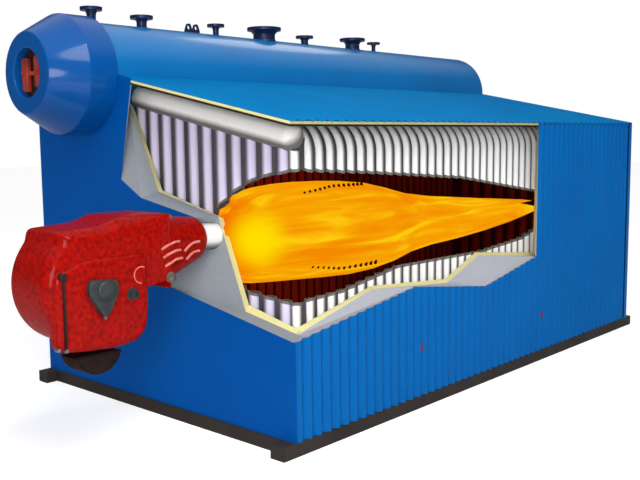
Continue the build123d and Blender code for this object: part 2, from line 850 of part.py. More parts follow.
def lift(share):
    # height over the burner axis, as a share of the housing height
    return burner_z + share * housing_h


def head_ring(y, radius, drop):
    # ring of points round the burner axis, lowered by the drop
    turns = [2 * math.pi * i / 32 for i in range(32)]
    return [(burner_x + radius * math.cos(a), y, burner_z - drop + radius * math.sin(a)) for a in turns]


# Head with a nearly level top and a rising underside, between the square flange and the flame tube
flange_low = lift(-0.349)
flange_high = lift(0.261)
head_drop = 0.2 * cone_r
nose_ring = head_ring(nose_y, nose_r, 0)
with BuildPart() as burner_cone:
    with BuildSketch(Plane.XZ.offset(-flange_back)):
        with Locations((burner_x, (flange_low + flange_high) / 2)):
            Rectangle(housing_w, flange_high - flange_low)
    extrude(amount=-flange_t)
    chamfer(burner_cone.edges().filter_by(Axis.Y), 25)
    add(bevelled_layer(head_ring(cone_back, cone_r, head_drop), nose_ring))
    add(bevelled_layer(nose_ring, head_ring(cone_end, flame_tube_r + 27, 0)))
burner_cone.part.label = "burner_cone"
export_step(burner_cone.part, "parts/burner_cone.step")

# Scroll housing in side view: upper duct, round fan scroll behind, lower bulge in front
with BuildPart() as burner_housing:
    with BuildSketch(Plane.YZ.offset(burner_x - housing_w / 2)):
        with BuildLine():
            Polyline(
                (back(0.195), lift(-0.318)),
                (back(0), lift(-0.276)),
                (back(0), lift(0.261)),
                (back(0.389), lift(0.271)),
                (back(0.544), lift(0.214)),
                (back(0.903), lift(0.194)),
                (back(0.922), lift(0.1)),
            )
            ThreePointArc(
                (back(0.922), lift(0.1)),
                (back(1.05), lift(-0.253)),
                (back(0.731), lift(-0.706)),
            )
            Polyline(
                (back(0.731), lift(-0.706)),
                (back(0.506), lift(-0.744)),
                (back(0.322), lift(-0.72)),
                (back(0.236), lift(-0.635)),
                (back(0.202), lift(-0.439)),
                (back(0.195), lift(-0.318)),
            )
        make_face()
    extrude(amount=housing_w)
burner_housing.part.label = "burner_housing"
export_step(burner_housing.part, "parts/burner_housing.step")

# Raised cover on the right side of the housing
cover_x = burner_x + housing_w / 2
side_cover_t = 35
with BuildPart() as burner_side_cover:
    with BuildSketch(Plane.YZ.offset(cover_x)):
        with BuildLine():
            Polyline(
                (back(1), lift(-0.68)),
                (back(1), lift(-0.112)),
                (back(0.767), lift(-0.024)),
                (back(0.233), lift(-0.024)),
                (back(0.222), lift(-0.437)),
                (back(0.247), lift(-0.63)),
                (back(0.33), lift(-0.708)),
                (back(0.506), lift(-0.73)),
                (back(0.767), lift(-0.712)),
                close=True,
            )
        make_face()
    extrude(amount=side_cover_t)
    chamfer(burner_side_cover.faces().sort_by(Axis.X)[-1].edges(), 12)
burner_side_cover.part.label = "burner_side_cover"
export_step(burner_side_cover.part, "parts/burner_side_cover.step")

# Three-cornered adjusting cap, small knob and the hinge bar with its knob
with BuildPart() as burner_servo_cap:
    with BuildSketch(Plane.YZ.offset(cover_x + side_cover_t)) as cap_side:
        with BuildLine():
            Polyline(
                (back(0.756), lift(-0.176)),
                (back(0.522), lift(-0.194)),
                (back(0.52), lift(-0.294)),
                (back(0.611), lift(-0.461)),
                (back(0.658), lift(-0.461)),
                (back(0.772), lift(-0.273)),
                close=True,
            )
        make_face()
        chamfer(cap_side.vertices(), 18)
    extrude(amount=60)
burner_servo_cap.part.label = "burner_servo_cap"
export_step(burner_servo_cap.part, "parts/burner_servo_cap.step")

with BuildPart() as burner_sight_knob:
    with BuildSketch(Plane.YZ.offset(cover_x + side_cover_t)):
        with Locations((back(0.383), lift(-0.332))):
            RegularPolygon(32, 12)
    extrude(amount=45)
burner_sight_knob.part.label = "burner_sight_knob"
export_step(burner_sight_knob.part, "parts/burner_sight_knob.step")

with BuildPart() as burner_hinge_bar:
    with BuildSketch(Plane.YZ.offset(cover_x + side_cover_t)):
        with Locations((back(0.947), lift(-0.394))):
            Rectangle(22, 0.52 * housing_h)
        with Locations((back(0.947), lift(-0.128))):
            RegularPolygon(27, 12)
    extrude(amount=20)
burner_hinge_bar.part.label = "burner_hinge_bar"
export_step(burner_hinge_bar.part, "parts/burner_hinge_bar.step")

# Half-round meshed air inlet under the near side of the scroll
inlet_r = 180
inlet_turns = [math.radians(195 + 30 * i) for i in range(6)]
with BuildPart() as burner_air_inlet:
    with BuildSketch(Plane.YZ.offset(burner_x + 0.02 * housing_w)):
        with BuildLine():
            Polyline(
                (back(0.731), lift(-0.707)),
                *[(back(0.62) + inlet_r * math.cos(a), lift(-0.725) + inlet_r * math.sin(a)) for a in inlet_turns],
                (back(0.506), lift(-0.745)),
                close=True,
            )
        make_face()
    extrude(amount=0.4 * housing_w)
burner_air_inlet.part.label = "burner_air_inlet"
export_step(burner_air_inlet.part, "parts/burner_air_inlet.step")
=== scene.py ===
# %% [markdown]
# This lesson dresses a packaged water-tube boiler: a blue casing on a black skid, a steam drum on top,
# a red burner in front and a cut-away that shows tubes and flame.
# The solids come first, as a fixed frame in metres, so that every later piece has a place to sit.

# %% Load the frame and keep its box
import math
import bpy
import bmesh
from mathutils import Matrix, Vector


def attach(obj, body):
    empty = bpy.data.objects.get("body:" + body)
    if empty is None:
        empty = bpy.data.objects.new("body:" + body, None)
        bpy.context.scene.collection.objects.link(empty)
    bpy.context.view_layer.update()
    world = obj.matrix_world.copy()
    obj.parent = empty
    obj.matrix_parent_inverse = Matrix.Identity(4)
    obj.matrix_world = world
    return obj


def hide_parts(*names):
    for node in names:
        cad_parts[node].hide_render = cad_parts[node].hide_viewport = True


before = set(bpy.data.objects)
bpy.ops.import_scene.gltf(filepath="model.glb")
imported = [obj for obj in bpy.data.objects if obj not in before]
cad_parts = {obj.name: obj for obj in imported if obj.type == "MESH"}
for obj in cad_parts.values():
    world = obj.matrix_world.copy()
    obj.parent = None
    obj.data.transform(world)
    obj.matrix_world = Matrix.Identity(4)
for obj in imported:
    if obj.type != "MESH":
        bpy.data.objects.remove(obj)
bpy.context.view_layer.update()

# %% [markdown]
# The picture looks at the front right corner from a little above eye height.
# A camera can be turned by angles, but here a small tilt of the horizon has to be kept too, so the three
# axes of the camera are written out and set as one matrix.

# %% Camera
X, Y, Z = Vector((1, 0, 0)), Vector((0, 1, 0)), Vector((0, 0, 1))
yaw, pitch, roll = math.radians(42.133), math.radians(6.7425), math.radians(-0.611)
camera_at, lens_mm, sensor_mm, far_end = (5.613, -6.951, 2.203), 49.27, 36, 200


def put_in_scene(name, data):
    made = bpy.data.objects.new(name, data)
    bpy.context.scene.collection.objects.link(made)
    return made


ahead = Vector((-math.sin(yaw) * math.cos(pitch), math.cos(yaw) * math.cos(pitch), -math.sin(pitch)))
level_right = ahead.cross(Z).normalized()
level_up = level_right.cross(ahead)
cam_right = level_right * math.cos(roll) + level_up * math.sin(roll)
cam_up = level_up * math.cos(roll) - level_right * math.sin(roll)
cam = put_in_scene("photo_camera", bpy.data.cameras.new("photo_camera"))
turn = Matrix((cam_right, cam_up, -ahead)).transposed().to_4x4()
cam.matrix_world = Matrix.Translation(camera_at) @ turn
cam.data.lens = lens_mm
cam.data.sensor_width = sensor_mm
cam.data.clip_end = far_end
bpy.context.scene.camera = cam
bpy.context.scene.view_settings.view_transform = "Standard"
print("camera at", tuple(cam.location))

# %% [markdown]
# Light and finishes are built from nodes. Wiring them line by line hides what they do, so one call adds a node
# with its settings and values, and another joins a list of sockets.

# %% Helpers for nodes
def add_node(tree, kind, values=None, **settings):
    # settings are the node's own choices, such as its operation; values go to its input sockets
    made = tree.nodes.new(kind)
    for title, setting in settings.items():
        setattr(made, title, setting)
    for socket, value in (values or {}).items():
        made.inputs[socket].default_value = value
    return made


def join(tree, *links):
    # each link is a node and its output, then a node and its input
    for giver, out, taker, into in links:
        tree.links.new(giver.outputs[out], taker.inputs[into])


print("node helpers ready")

# %% [markdown]
# The boiler stands in white surroundings. What the camera meets is white and the light that falls on the object
# is softer. Mirror-like rays meet a dim horizon and a bright ceiling, so that glossy paint keeps its colour
# and shines only where it faces up.

# %% Surroundings
plain_white, soft_light = (1, 1, 1, 1), 0.5
ceiling = {"From Min": 0.38, "From Max": 0.78, "To Min": 0.06, "To Max": 1.1}
world = bpy.data.worlds.new("studio")
bpy.context.scene.world = world
world.use_nodes = True
sky = world.node_tree
sky.nodes.clear()
rays = add_node(sky, "ShaderNodeLightPath")
soft = add_node(sky, "ShaderNodeBackground", {"Color": plain_white, "Strength": soft_light})
above = add_node(sky, "ShaderNodeTexCoord")
height = add_node(sky, "ShaderNodeSeparateXYZ")
overhead = add_node(sky, "ShaderNodeMapRange", ceiling, interpolation_type="SMOOTHSTEP")
mirrored = add_node(sky, "ShaderNodeBackground", {"Color": plain_white})
pick_mirror = add_node(sky, "ShaderNodeMixShader")
white = add_node(sky, "ShaderNodeBackground", {"Color": plain_white, "Strength": 1.0})
pick = add_node(sky, "ShaderNodeMixShader")
sky_out = add_node(sky, "ShaderNodeOutputWorld")
join(sky, (above, "Generated", height, 0), (height, "Z", overhead, "Value"),
     (overhead, "Result", mirrored, "Strength"), (rays, "Is Glossy Ray", pick_mirror, 0),
     (soft, 0, pick_mirror, 1), (mirrored, 0, pick_mirror, 2), (rays, "Is Camera Ray", pick, 0),
     (pick_mirror, 0, pick, 1), (white, 0, pick, 2), (pick, 0, sky_out, "Surface"))
print("surroundings:", world.name)

# %% [markdown]
# A pale floor carries the shadow under the skid. Matt paint alone would look grey beside the white surroundings,
# so a little light of its own is added, for camera rays only, and the boiler is not lit by it.

# %% Floor
floor_reach = 60
floor_paint = bpy.data.materials.new("studio_floor")
floor_paint.use_nodes = True
tree = floor_paint.node_tree
tree.nodes.clear()
rays = add_node(tree, "ShaderNodeLightPath")
matt = add_node(tree, "ShaderNodeBsdfDiffuse", {"Color": (0.82, 0.82, 0.82, 1)})
lift = add_node(tree, "ShaderNodeEmission", {"Color": (0.55, 0.55, 0.55, 1)})
no_lift = add_node(tree, "ShaderNodeEmission", {"Strength": 0.0})
choose = add_node(tree, "ShaderNodeMixShader")
total = add_node(tree, "ShaderNodeAddShader")
floor_out = add_node(tree, "ShaderNodeOutputMaterial")
join(tree, (rays, "Is Camera Ray", choose, 0), (no_lift, 0, choose, 1), (lift, 0, choose, 2),
     (matt, 0, total, 0), (choose, 0, total, 1), (total, 0, floor_out, "Surface"))
floor_mesh = bpy.data.meshes.new("floor")
floor_mesh.from_pydata([(a * floor_reach, b * floor_reach, 0) for a, b in ((-1, -1), (1, -1), (1, 1), (-1, 1))],
                       [], [(0, 1, 2, 3)])
floor_mesh.materials.append(floor_paint)
floor = put_in_scene("floor", floor_mesh)
print("floor half width:", floor_reach)

# %% [markdown]
# One large soft lamp hangs high on the right. It makes the roof brightest, the right wall next and the front
# darkest, as on the object, and the casing blues and the wool are painted in the same order of light and shade. A small
# key lamp, a rim lamp behind and a low fill from the camera side complete the set.

# %% Lamps
lamp_aim = Vector((0, 0, 1.4))
for name, size, power, lamp_at in (("softbox", 5.0, 420, (6.2, -5.0, 7.9)), ("key", 0.45, 70, (5.0, -3.4, 9.5)),
                                   ("rim", 3.0, 50, (-2.6, 4.4, 8.1)), ("fill", 3.5, 275, (6.0, -9.0, 2.6))):
    lamp = put_in_scene(name, bpy.data.lights.new(name, "AREA"))
    lamp.data.shape = "DISK"
    lamp.data.size = size
    lamp.data.energy = power
    lamp.location = lamp_at
    lamp.rotation_euler = (lamp_aim - lamp.location).to_track_quat("-Z", "Y").to_euler()
    print(name, "of", power, "W at", lamp_at)

# %% [markdown]
# Most pieces here are skins stretched over rings of points: tubes, sheets, drum, burner and flame.
# Many are turned, as on a lathe: a profile of radius and length goes round an axis.
# One small class gathers the points and faces of a piece, with a number for the finish of each face.

# %% Helpers for skins
def angles(count):
    # equal steps round a full turn
    return [2 * math.pi * i / count for i in range(count)]


def turned(profile, origin, axis, side, count=64):
    # rings of a turned part: profile of (radius, length along the axis)
    third = axis.cross(side)
    return [[origin + axis * length + (side * math.cos(a) + third * math.sin(a)) * radius for a in angles(count)]
            for radius, length in profile]


class Skin:
    def __init__(self):
        self.points, self.faces, self.paints = [], [], []

    def rings(self, rings, paint=0, first=None, last=None):
        # stretch faces between neighbouring closed rings, and close an end where a paint is named for it
        base, count = len(self.points), len(rings[0])
        for ring in rings:
            self.points.extend(ring)
        for i in range(len(rings) - 1):
            a, b = base + i * count, base + (i + 1) * count
            for j in range(count):
                k = (j + 1) % count
                self.faces.append((a + j, a + k, b + k, b + j))
                self.paints.append(paint[i] if isinstance(paint, list) else paint)
        if first is not None:
            self.faces.append(tuple(base + j for j in reversed(range(count))))
            self.paints.append(first)
        if last is not None:
            start = base + (len(rings) - 1) * count
            self.faces.append(tuple(start + j for j in range(count)))
            self.paints.append(last)

    def closed(self, rings, paint=0):
        self.rings(rings, paint, paint, paint)

    def lathe(self, profile, origin, axis, side, count, paint=0):
        self.closed(turned(profile, origin, axis, side, count), paint)


print("skin helpers ready")

# %% [markdown]
# A finished skin becomes an object that rides on the boiler, takes its finish from a slot and stands for the solid
# that it refines. Faces are smooth, and an edge stays sharp where it turns by more than a given angle.

# %% Helper for pieces
paint = {}


def make_piece(name, skin, paints, stands_for=(), sharp=32):
    mesh = bpy.data.meshes.new(name)
    mesh.from_pydata([tuple(p) for p in skin.points], [], skin.faces)
    for colour in paints:
        mesh.materials.append(paint[colour])
    mesh.polygons.foreach_set("material_index", skin.paints)
    work = bmesh.new()
    work.from_mesh(mesh)
    bmesh.ops.recalc_face_normals(work, faces=work.faces)
    work.to_mesh(mesh)
    work.free()
    mesh.shade_smooth()
    mesh.set_sharp_from_angle(angle=math.radians(sharp))
    made = put_in_scene(name, mesh)
    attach(made, "root")
    if stands_for:
        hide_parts(*stands_for)
    print(name, "faces:", len(mesh.polygons))
    return made


print("piece helper ready")

# %% [markdown]
# Painted plate is never one flat colour: the paint film has a fine orange-peel skin and faint cloudy shading.
# Several paints share that, so it is a node group with a shade mask and a height, placed in each material.

# %% Shared effect: paint film
def new_group(name, inputs, outputs):
    # a group with named inputs, numbers or vectors by their defaults, and number outputs
    group = bpy.data.node_groups.new(name, "ShaderNodeTree")
    for title, default in inputs.items():
        kind = "NodeSocketVector" if isinstance(default, tuple) else "NodeSocketFloat"
        group.interface.new_socket(title, in_out="INPUT", socket_type=kind).default_value = default
    for title in outputs:
        group.interface.new_socket(title, in_out="OUTPUT", socket_type="NodeSocketFloat")
    inlet, outlet = group.nodes.new("NodeGroupInput"), group.nodes.new("NodeGroupOutput")
    print("group", group.name)
    return group, inlet, outlet, add_node(group, "ShaderNodeTexCoord")


def add_noise(group, inlet, where, size, detail, stretch=None):
    # a noise over the object, sized by a named input of the group, and drawn out where a stretch is given
    noise = add_node(group, "ShaderNodeTexNoise", {"Detail": detail})
    join(group, (inlet, size, noise, "Scale"))
    if stretch:
        drawn = add_node(group, "ShaderNodeMapping", {"Scale": stretch})
        join(group, (where, "Object", drawn, "Vector"), (drawn, "Vector", noise, "Vector"))
    else:
        join(group, (where, "Object", noise, "Vector"))
    return noise


film, inlet, outlet, where = new_group("paint_film", {"Peel Scale": 260.0, "Cloud Scale": 1.4}, ("Shade", "Height"))
peel = add_noise(film, inlet, where, "Peel Scale", 2.0)
cloud = add_noise(film, inlet, where, "Cloud Scale", 4.0)
join(film, (cloud, "Fac", outlet, "Shade"), (peel, "Fac", outlet, "Height"))

# %% [markdown]
# The wool and boards of the cut face are fibrous: fine specks with a few longer strands.
# Two noises, one of them stretched, give a grain that the wool, the cream board and the furnace floor share.

# %% Shared effect: fibre grain
fibre, inlet, outlet, where = new_group("fibre_grain", {"Speck Scale": 150.0, "Strand Scale": 30.0},
                                        ("Shade", "Height"))
speck = add_noise(fibre, inlet, where, "Speck Scale", 5.0)
strand = add_noise(fibre, inlet, where, "Strand Scale", 3.0, (1.0, 1.0, 5.0))
both = add_node(fibre, "ShaderNodeMath", {1: 0.5}, operation="MULTIPLY_ADD")
half = add_node(fibre, "ShaderNodeMath", {1: 0.5}, operation="MULTIPLY")
join(fibre, (strand, "Fac", half, 0), (speck, "Fac", both, 0), (half, 0, both, 2),
     (both, 0, outlet, "Shade"), (both, 0, outlet, "Height"))

# %% [markdown]
# Boiler tubes stand in pale primer, with faint streaks down their length and small pits.
# One streak group, stretched along the tubes, serves the pale and the hot tubes, so they belong together.
# A second group tells how far a round surface turns away from a given direction, which sets painted shade on the
# primer.

# %% Shared effects: tube streaks and painted round shade
streak, inlet, outlet, where = new_group("tube_streak", {"Streak Scale": 14.0, "Pit Scale": 220.0},
                                         ("Shade", "Height"))
lines = add_noise(streak, inlet, where, "Streak Scale", 3.0, (1.0, 1.0, 0.08))
pits = add_noise(streak, inlet, where, "Pit Scale", 2.0)
join(streak, (lines, "Fac", outlet, "Shade"), (pits, "Fac", outlet, "Height"))

painted_round_shade, inlet, outlet, where = new_group("painted_round_shade", {"Toward": (0.0, 0.0, 0.0)}, ("Facing",))
turn_to = add_node(painted_round_shade, "ShaderNodeVectorMath", operation="DOT_PRODUCT")
join(painted_round_shade, (where, "Normal", turn_to, 0), (inlet, "Toward", turn_to, 1), (turn_to, "Value", outlet, "Facing"))

# %% [markdown]
# Each finish mixes close shades by a group's mask and takes a shallow bump from its height.
# What is the same all over, such as gloss, is set straight on the shader.

# %% Helpers for finishes
bump_depth, dark_at, light_at = 0.002, 0.3, 0.7


def linear(r, g, b):
    # screen colour, 0 to 255, to the shader's linear colour
    def one(c):
        c = c / 255
        return c / 12.92 if c <= 0.04045 else ((c + 0.055) / 1.055) ** 2.4
    return (one(r), one(g), one(b), 1)


def colour_ramp(tree, stops):
    # a ramp named ramp, from stops of (place, screen colour)
    made = add_node(tree, "ShaderNodeValToRGB", name="ramp")
    marks = made.color_ramp.elements
    for mark, (at, colour) in ((marks[0], stops[0]), (marks[-1], stops[-1])):
        mark.position, mark.color = at, linear(*colour)
    for at, colour in stops[1:-1]:
        marks.new(at).color = linear(*colour)
    return made


def new_paint(name, values):
    # a material, kept by its name, with values set straight on its shader
    paint[name] = bpy.data.materials.new(name)
    paint[name].use_nodes = True
    tree = paint[name].node_tree
    shader = tree.nodes["Principled BSDF"]
    for title, value in values.items():
        shader.inputs[title].default_value = value
    return tree, shader


def finish(name, group, values, stops, rough, bump, gloss=0.2, metal=0.0, coat=0.0, coat_rough=0.1):
    tree, shader = new_paint(name, {"Metallic": metal, "Specular IOR Level": gloss, "Roughness": rough,
                                    "Coat Weight": coat, "Coat Roughness": coat_rough})
    effect = add_node(tree, "ShaderNodeGroup", values, name="effect", node_tree=group)
    ramp = colour_ramp(tree, stops)
    dent = add_node(tree, "ShaderNodeBump", {"Strength": bump, "Distance": bump_depth})
    join(tree, (effect, "Shade", ramp, "Fac"), (ramp, "Color", shader, "Base Color"),
         (effect, "Height", dent, "Height"), (dent, "Normal", shader, "Normal"))
    return tree


def finishes(group, sizes, rows):
    # rows of name, the group's two sizes, dark and light shade, roughness, bump, gloss, metal, coat and its roughness
    for name, one, two, dark, light, *look in rows:
        finish(name, group, dict(zip(sizes, (one, two))), [(dark_at, dark), (light_at, light)], *look)
    print("finishes:", [row[0] for row in rows])


print("finish helpers ready")

# %% [markdown]
# The casing, drum and burner are sprayed, each part in its own shade and shine: matt on the casing sheets, a clear
# coat on the drum, its hood and the burner. The casing blues and the wool each come in painted lighter and darker
# copies for the faces that the light falls on differently. A table keeps the shades side by side, where they are easy
# to compare.

# %% Painted, wool, board and steel finishes
finishes(film, ("Peel Scale", "Cloud Scale"), [
    # the casing blues are one paint in three painted shades: darkest on the front, lighter on the walls, lightest on
    # the roof
    ("front_blue_painted_shade", 300, 1.2, (0, 79, 160), (0, 84, 167), 0.6, 0.06, 0.04),
    ("wall_blue_painted_side_light", 300, 1.2, (0, 95, 168), (0, 101, 175), 0.4, 0.05, 0.08),
    ("roof_blue_painted_top_light", 300, 1.2, (0, 112, 174), (0, 119, 182), 0.65, 0.05, 0.02),
    ("drum_blue", 300, 1.2, (0, 106, 172), (0, 115, 181), 0.4, 0.03, 0.08, 0.0, 0.6, 0.14),
    ("hood_blue", 300, 1.2, (0, 74, 146), (0, 82, 156), 0.4, 0.03, 0.06, 0.0, 0.45),
    ("nozzle_navy", 400, 6, (10, 24, 62), (22, 40, 84), 0.35, 0.1, 0.4),
    ("skid_black", 180, 3, (44, 38, 34), (56, 48, 44), 0.6, 0.2),
    ("burner_red", 95, 34, (122, 4, 1), (176, 12, 3), 0.5, 0.25, 0.04, 0.0, 0.16),
    ("pink_painted_highlight", 200, 20, (206, 96, 84), (232, 142, 130), 0.4, 0.1, 0.3),
    ("dark_plastic", 160, 12, (34, 40, 40), (58, 66, 66), 0.45, 0.25, 0.35),
    ("plug_red", 200, 8, (120, 20, 70), (150, 36, 90), 0.4, 0.1),
    ("yoke_brown", 220, 7, (120, 36, 26), (176, 62, 48), 0.55, 0.2, 0.25),
    ("dark_brown_and_painted_shade", 220, 7, (40, 20, 18), (58, 30, 26), 0.6, 0.2),
    ("grille_black", 220, 7, (20, 17, 15), (34, 29, 25), 0.7, 0.2, 0.1)])
finishes(fibre, ("Speck Scale", "Strand Scale"), [
    # the wool is one material in two painted shades: darker in the front wall, lighter in the side walls
    ("wool_front_painted_shade", 150, 30, (140, 146, 153), (156, 162, 169), 0.95, 0.5, 0.05),
    ("wool_side_painted_light", 150, 30, (166, 168, 176), (184, 186, 194), 0.95, 0.5, 0.05),
    ("cream_board", 220, 60, (226, 216, 150), (240, 232, 172), 0.9, 0.3, 0.08),
    ("edge_board_painted_shadow", 220, 60, (226, 216, 150), (240, 232, 172), 0.9, 0.3, 0.08),
    ("floor_brick", 60, 12, (60, 18, 12), (96, 34, 22), 0.95, 0.8, 0.05)])
finishes(streak, ("Streak Scale", "Pit Scale"), [
    # the dark grey of the fins and of the tubes' torn insides is painted shade
    ("fin_painted_shade", 14, 220, (72, 70, 74), (92, 90, 94), 0.7, 0.1, 0.1),
    ("torn_edge", 60, 220, (92, 90, 86), (126, 123, 117), 0.6, 0.4, 0.2),
    # the far tubes' red is painted flame light, and their dark gaps are painted shade with a faint painted glow
    ("tube_painted_flame_light", 14, 220, (92, 22, 14), (128, 44, 30), 0.8, 0.1, 0.05),
    ("gap_painted_shade_and_flame_light", 14, 220, (26, 2, 2), (40, 4, 2), 0.9, 0.1, 0.05),
    ("bare_steel", 40, 220, (112, 108, 100), (150, 146, 136), 0.34, 0.05, 0.5, 0.7)])

# %% [markdown]
# The primed tubes are painted pale where they face outward and painted darker where they turn away, as painted shade. A
# lamp alone would leave them evenly white in the soft light, so the painted shade follows the surface's own direction,
# with the streaks mixed in.

# %% Tube finishes with painted shade
mottle_share = 0.12


def painted_shade_tube_finish(name, toward, stops):
    # pale primer on the side that faces outward, painted shade on the sides that turn away
    tree = finish(name, streak, {}, stops, 0.45, 0.05, 0.25)
    facing = add_node(tree, "ShaderNodeGroup", node_tree=painted_round_shade)
    facing.inputs["Toward"].default_value = toward
    mottle_and_painted_shade = add_node(tree, "ShaderNodeMath", {1: mottle_share}, operation="MULTIPLY_ADD")
    join(tree, (tree.nodes["effect"], "Shade", mottle_and_painted_shade, 0), (facing, "Facing", mottle_and_painted_shade, 2),
         (mottle_and_painted_shade, 0, tree.nodes["ramp"], "Fac"))
    print("tube finish", name)


painted_shade_tube_finish("tube_white", (0.62, -0.78, 0.0), [(0.2, (92, 90, 92)), (0.52, (134, 132, 134)), (0.75, (192, 190, 192)),
                                               (0.93, (250, 249, 248)), (1.0, (255, 254, 252))])
painted_shade_tube_finish("tube_lilac_painted_shade", (0.7, -0.71, 0.0), [(0.25, (70, 68, 72)), (0.55, (106, 102, 110)), (0.8, (162, 156, 176)),
                                              (0.95, (206, 199, 232)), (1.0, (220, 214, 240))])
painted_shade_tube_finish("header_white_painted_shade", (0.3, -0.6, 0.74), [(0.1, (112, 110, 110)), (0.32, (190, 188, 186)),
                                                (0.55, (252, 251, 248)), (1.0, (255, 255, 253))])
# the flame tube's white middle and its dark top and bottom are painted reflection
painted_shade_tube_finish("burner_tube_painted_reflection", (0.75, -0.6, 0.25), [(0.2, (70, 70, 74)), (0.5, (150, 150, 154)),
                                                (0.72, (244, 244, 244)), (1.0, (255, 255, 255))])

# %% [markdown]
# Inside the furnace the tubes are painted dull red for the light of the flame, and the paint fades to black at the far
# end.
# Real light from the flame would be slow and noisy, so the flame light is painted: the walls shine a little, less with
# the distance along.

# %% Painted flame light on the hot walls
glow_start, glow_end = -2.0, 0.4
for name, near, far in (("tube_painted_flame_light", (92, 12, 4), (18, 0, 0)), ("gap_painted_shade_and_flame_light", (38, 2, 0), (14, 0, 0))):
    tree = paint[name].node_tree
    shader = tree.nodes["Principled BSDF"]
    where = add_node(tree, "ShaderNodeTexCoord")
    split = add_node(tree, "ShaderNodeSeparateXYZ")
    fade = add_node(tree, "ShaderNodeMapRange", {"From Min": glow_start, "From Max": glow_end})
    glow = colour_ramp(tree, [(0.0, near), (1.0, far)])
    join(tree, (where, "Object", split, 0), (split, "Y", fade, "Value"), (fade, "Result", glow, "Fac"),
         (glow, "Color", shader, "Emission Color"))
    shader.inputs["Emission Strength"].default_value = 1.0
    print("glow on", name)

# %% [markdown]
# Casing values, in metres, as the solids have them: the roof falls from the drum to the right eave,
# and places are given as shares across, along and up, so that every cut edge meets its neighbour.

# %% Casing values
half_w, half_l, skid_h, eave_z, slope = 1.575, 2.75, 0.1, 2.32, 0.203
drum_r, drum_x = 0.445, -0.83
roof_start = drum_x + drum_r
roof_span, casing_h = half_w - roof_start, eave_z - skid_h
run_angle = math.atan(slope)
run_cos, run_sin = math.cos(run_angle), math.sin(run_angle)
run_up = Vector((-run_cos, 0, run_sin))


def roof_z(x):
    return eave_z + slope * (half_w - x)


def across(share):
    return roof_start + share * roof_span


def along(share):
    return share * half_l


def up(share):
    return skid_h + share * casing_h


def on_line(line, at):
    # height of a broken line of points at a place
    if at <= line[0][0]:
        return line[0][1]
    for (u0, v0), (u1, v1) in zip(line, line[1:]):
        if at <= u1:
            return v0 + (v1 - v0) * (at - u0) / (u1 - u0)
    return line[-1][1]


def row_at(rows, at):
    # the values of a table, whose rows start with a place, between its rows
    return [on_line([(row[0], row[k]) for row in rows], at) for k in range(1, len(rows[0]))]


drum_z = roof_z(roof_start) + 0.008
drum_top = drum_z + drum_r
floor_z = skid_h + 0.11
side_plane, front_plane, partition_plane = 1.3, -2.465, drum_x + 0.607 * drum_r
burner_x, burner_z = across(0.49), up(0.615)
print("drum axis at x", round(drum_x, 3), "z", round(drum_z, 3))

# %% [markdown]
# The flat sheets, the wool, the boards and the skid already have their true shape as solids.
# They stay, and only get their finish in their own material slot.

# %% Finishes on the solids that stay
kept = {
    "front_blue_painted_shade": ("front_cladding", "rear_cladding"), "roof_blue_painted_top_light": ("roof_left_cladding",),
    "wall_blue_painted_side_light": ("rear_corner_trim",), "floor_brick": ("furnace_floor",), "edge_board_painted_shadow": ("roof_board",),
    "wool_front_painted_shade": ("front_insulation", "front_lower_insulation"),
    "wool_side_painted_light": ("right_lower_insulation", "right_rear_insulation"),
    "cream_board": ("front_lining", "front_lower_lining", "right_lower_lining", "right_rear_lining"),
    "skid_black": ("skid_left_rail", "skid_right_rail", "skid_front_beam", "skid_rear_beam", "skid_cross_beams"),
}
for colour, nodes in kept.items():
    for node in nodes:
        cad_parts[node].material_slots[0].material = paint[colour]
print("solids kept:", sum(len(nodes) for nodes in kept.values()))

# %% [markdown]
# Under the roof board's lower edge lies a thin line of shadow. A strip of its own would be hair-thin, so the shadow is
# painted in the board's finish, by the height of a point below the sloping roof.

# %% Painted shadow line of the roof board
# the dark line along the board's lower edge is a painted shadow
shadow_line_level, shadow_line_soft = eave_z + slope * half_w - 0.038, 0.003
tree = paint["edge_board_painted_shadow"].node_tree
where = add_node(tree, "ShaderNodeTexCoord")
depth = add_node(tree, "ShaderNodeVectorMath", {1: (slope, 0.0, 1.0)}, operation="DOT_PRODUCT")
shadow_line = add_node(tree, "ShaderNodeMapRange",
                 {"From Min": shadow_line_level - shadow_line_soft, "From Max": shadow_line_level + shadow_line_soft})
darken = add_node(tree, "ShaderNodeMix", data_type="RGBA")
darken.inputs["A"].default_value = linear(44, 36, 22)
join(tree, (where, "Object", depth, 0), (depth, "Value", shadow_line, "Value"), (shadow_line, "Result", darken, "Factor"),
     (tree.nodes["ramp"], "Color", darken, "B"), (darken, "Result", tree.nodes["Principled BSDF"], "Base Color"))
print("joint level at the middle:", round(shadow_line_level, 3))

# %% [markdown]
# The walls and the roof are corrugated sheet. The solid shows each rib with two flats;
# here each wave is a smooth cosine with twelve steps, on a sheet with real thickness and cut edges.

# %% Helpers for corrugated sheets
sheet_t, rib_pitch, rib_depth, roof_rib_depth, per_wave = 0.004, 0.1, 0.025, 0.014, 12
front_sheet_in, sheet_end, trim_w = -half_l + sheet_t, half_l - sheet_t, 0.06


def dip(turns):
    # share of the rib's depth below its crest, for a place counted in waves
    return 0.5 + 0.5 * math.cos(2 * math.pi * turns)


def corrugated(name, start, end, crest, depth, low, high, put, colour, node, tail=0.0):
    # waves from start to end, from a level up to a height that may change on the way
    steps = round((end - start) / rib_pitch) * per_wave
    line = [(start + (end - start) * i / steps, crest - depth * dip(i / per_wave)) for i in range(steps + 1)]
    if tail:
        # a flat end strip that slips under a corner trim
        line.append((end + tail, crest - depth))
    skin = Skin()
    skin.closed([[put(u, v, low), put(u, v, high(u)), put(u, v - sheet_t, high(u)), put(u, v - sheet_t, low)]
                 for u, v in line])
    make_piece(name, skin, [colour], [node], sharp=40)


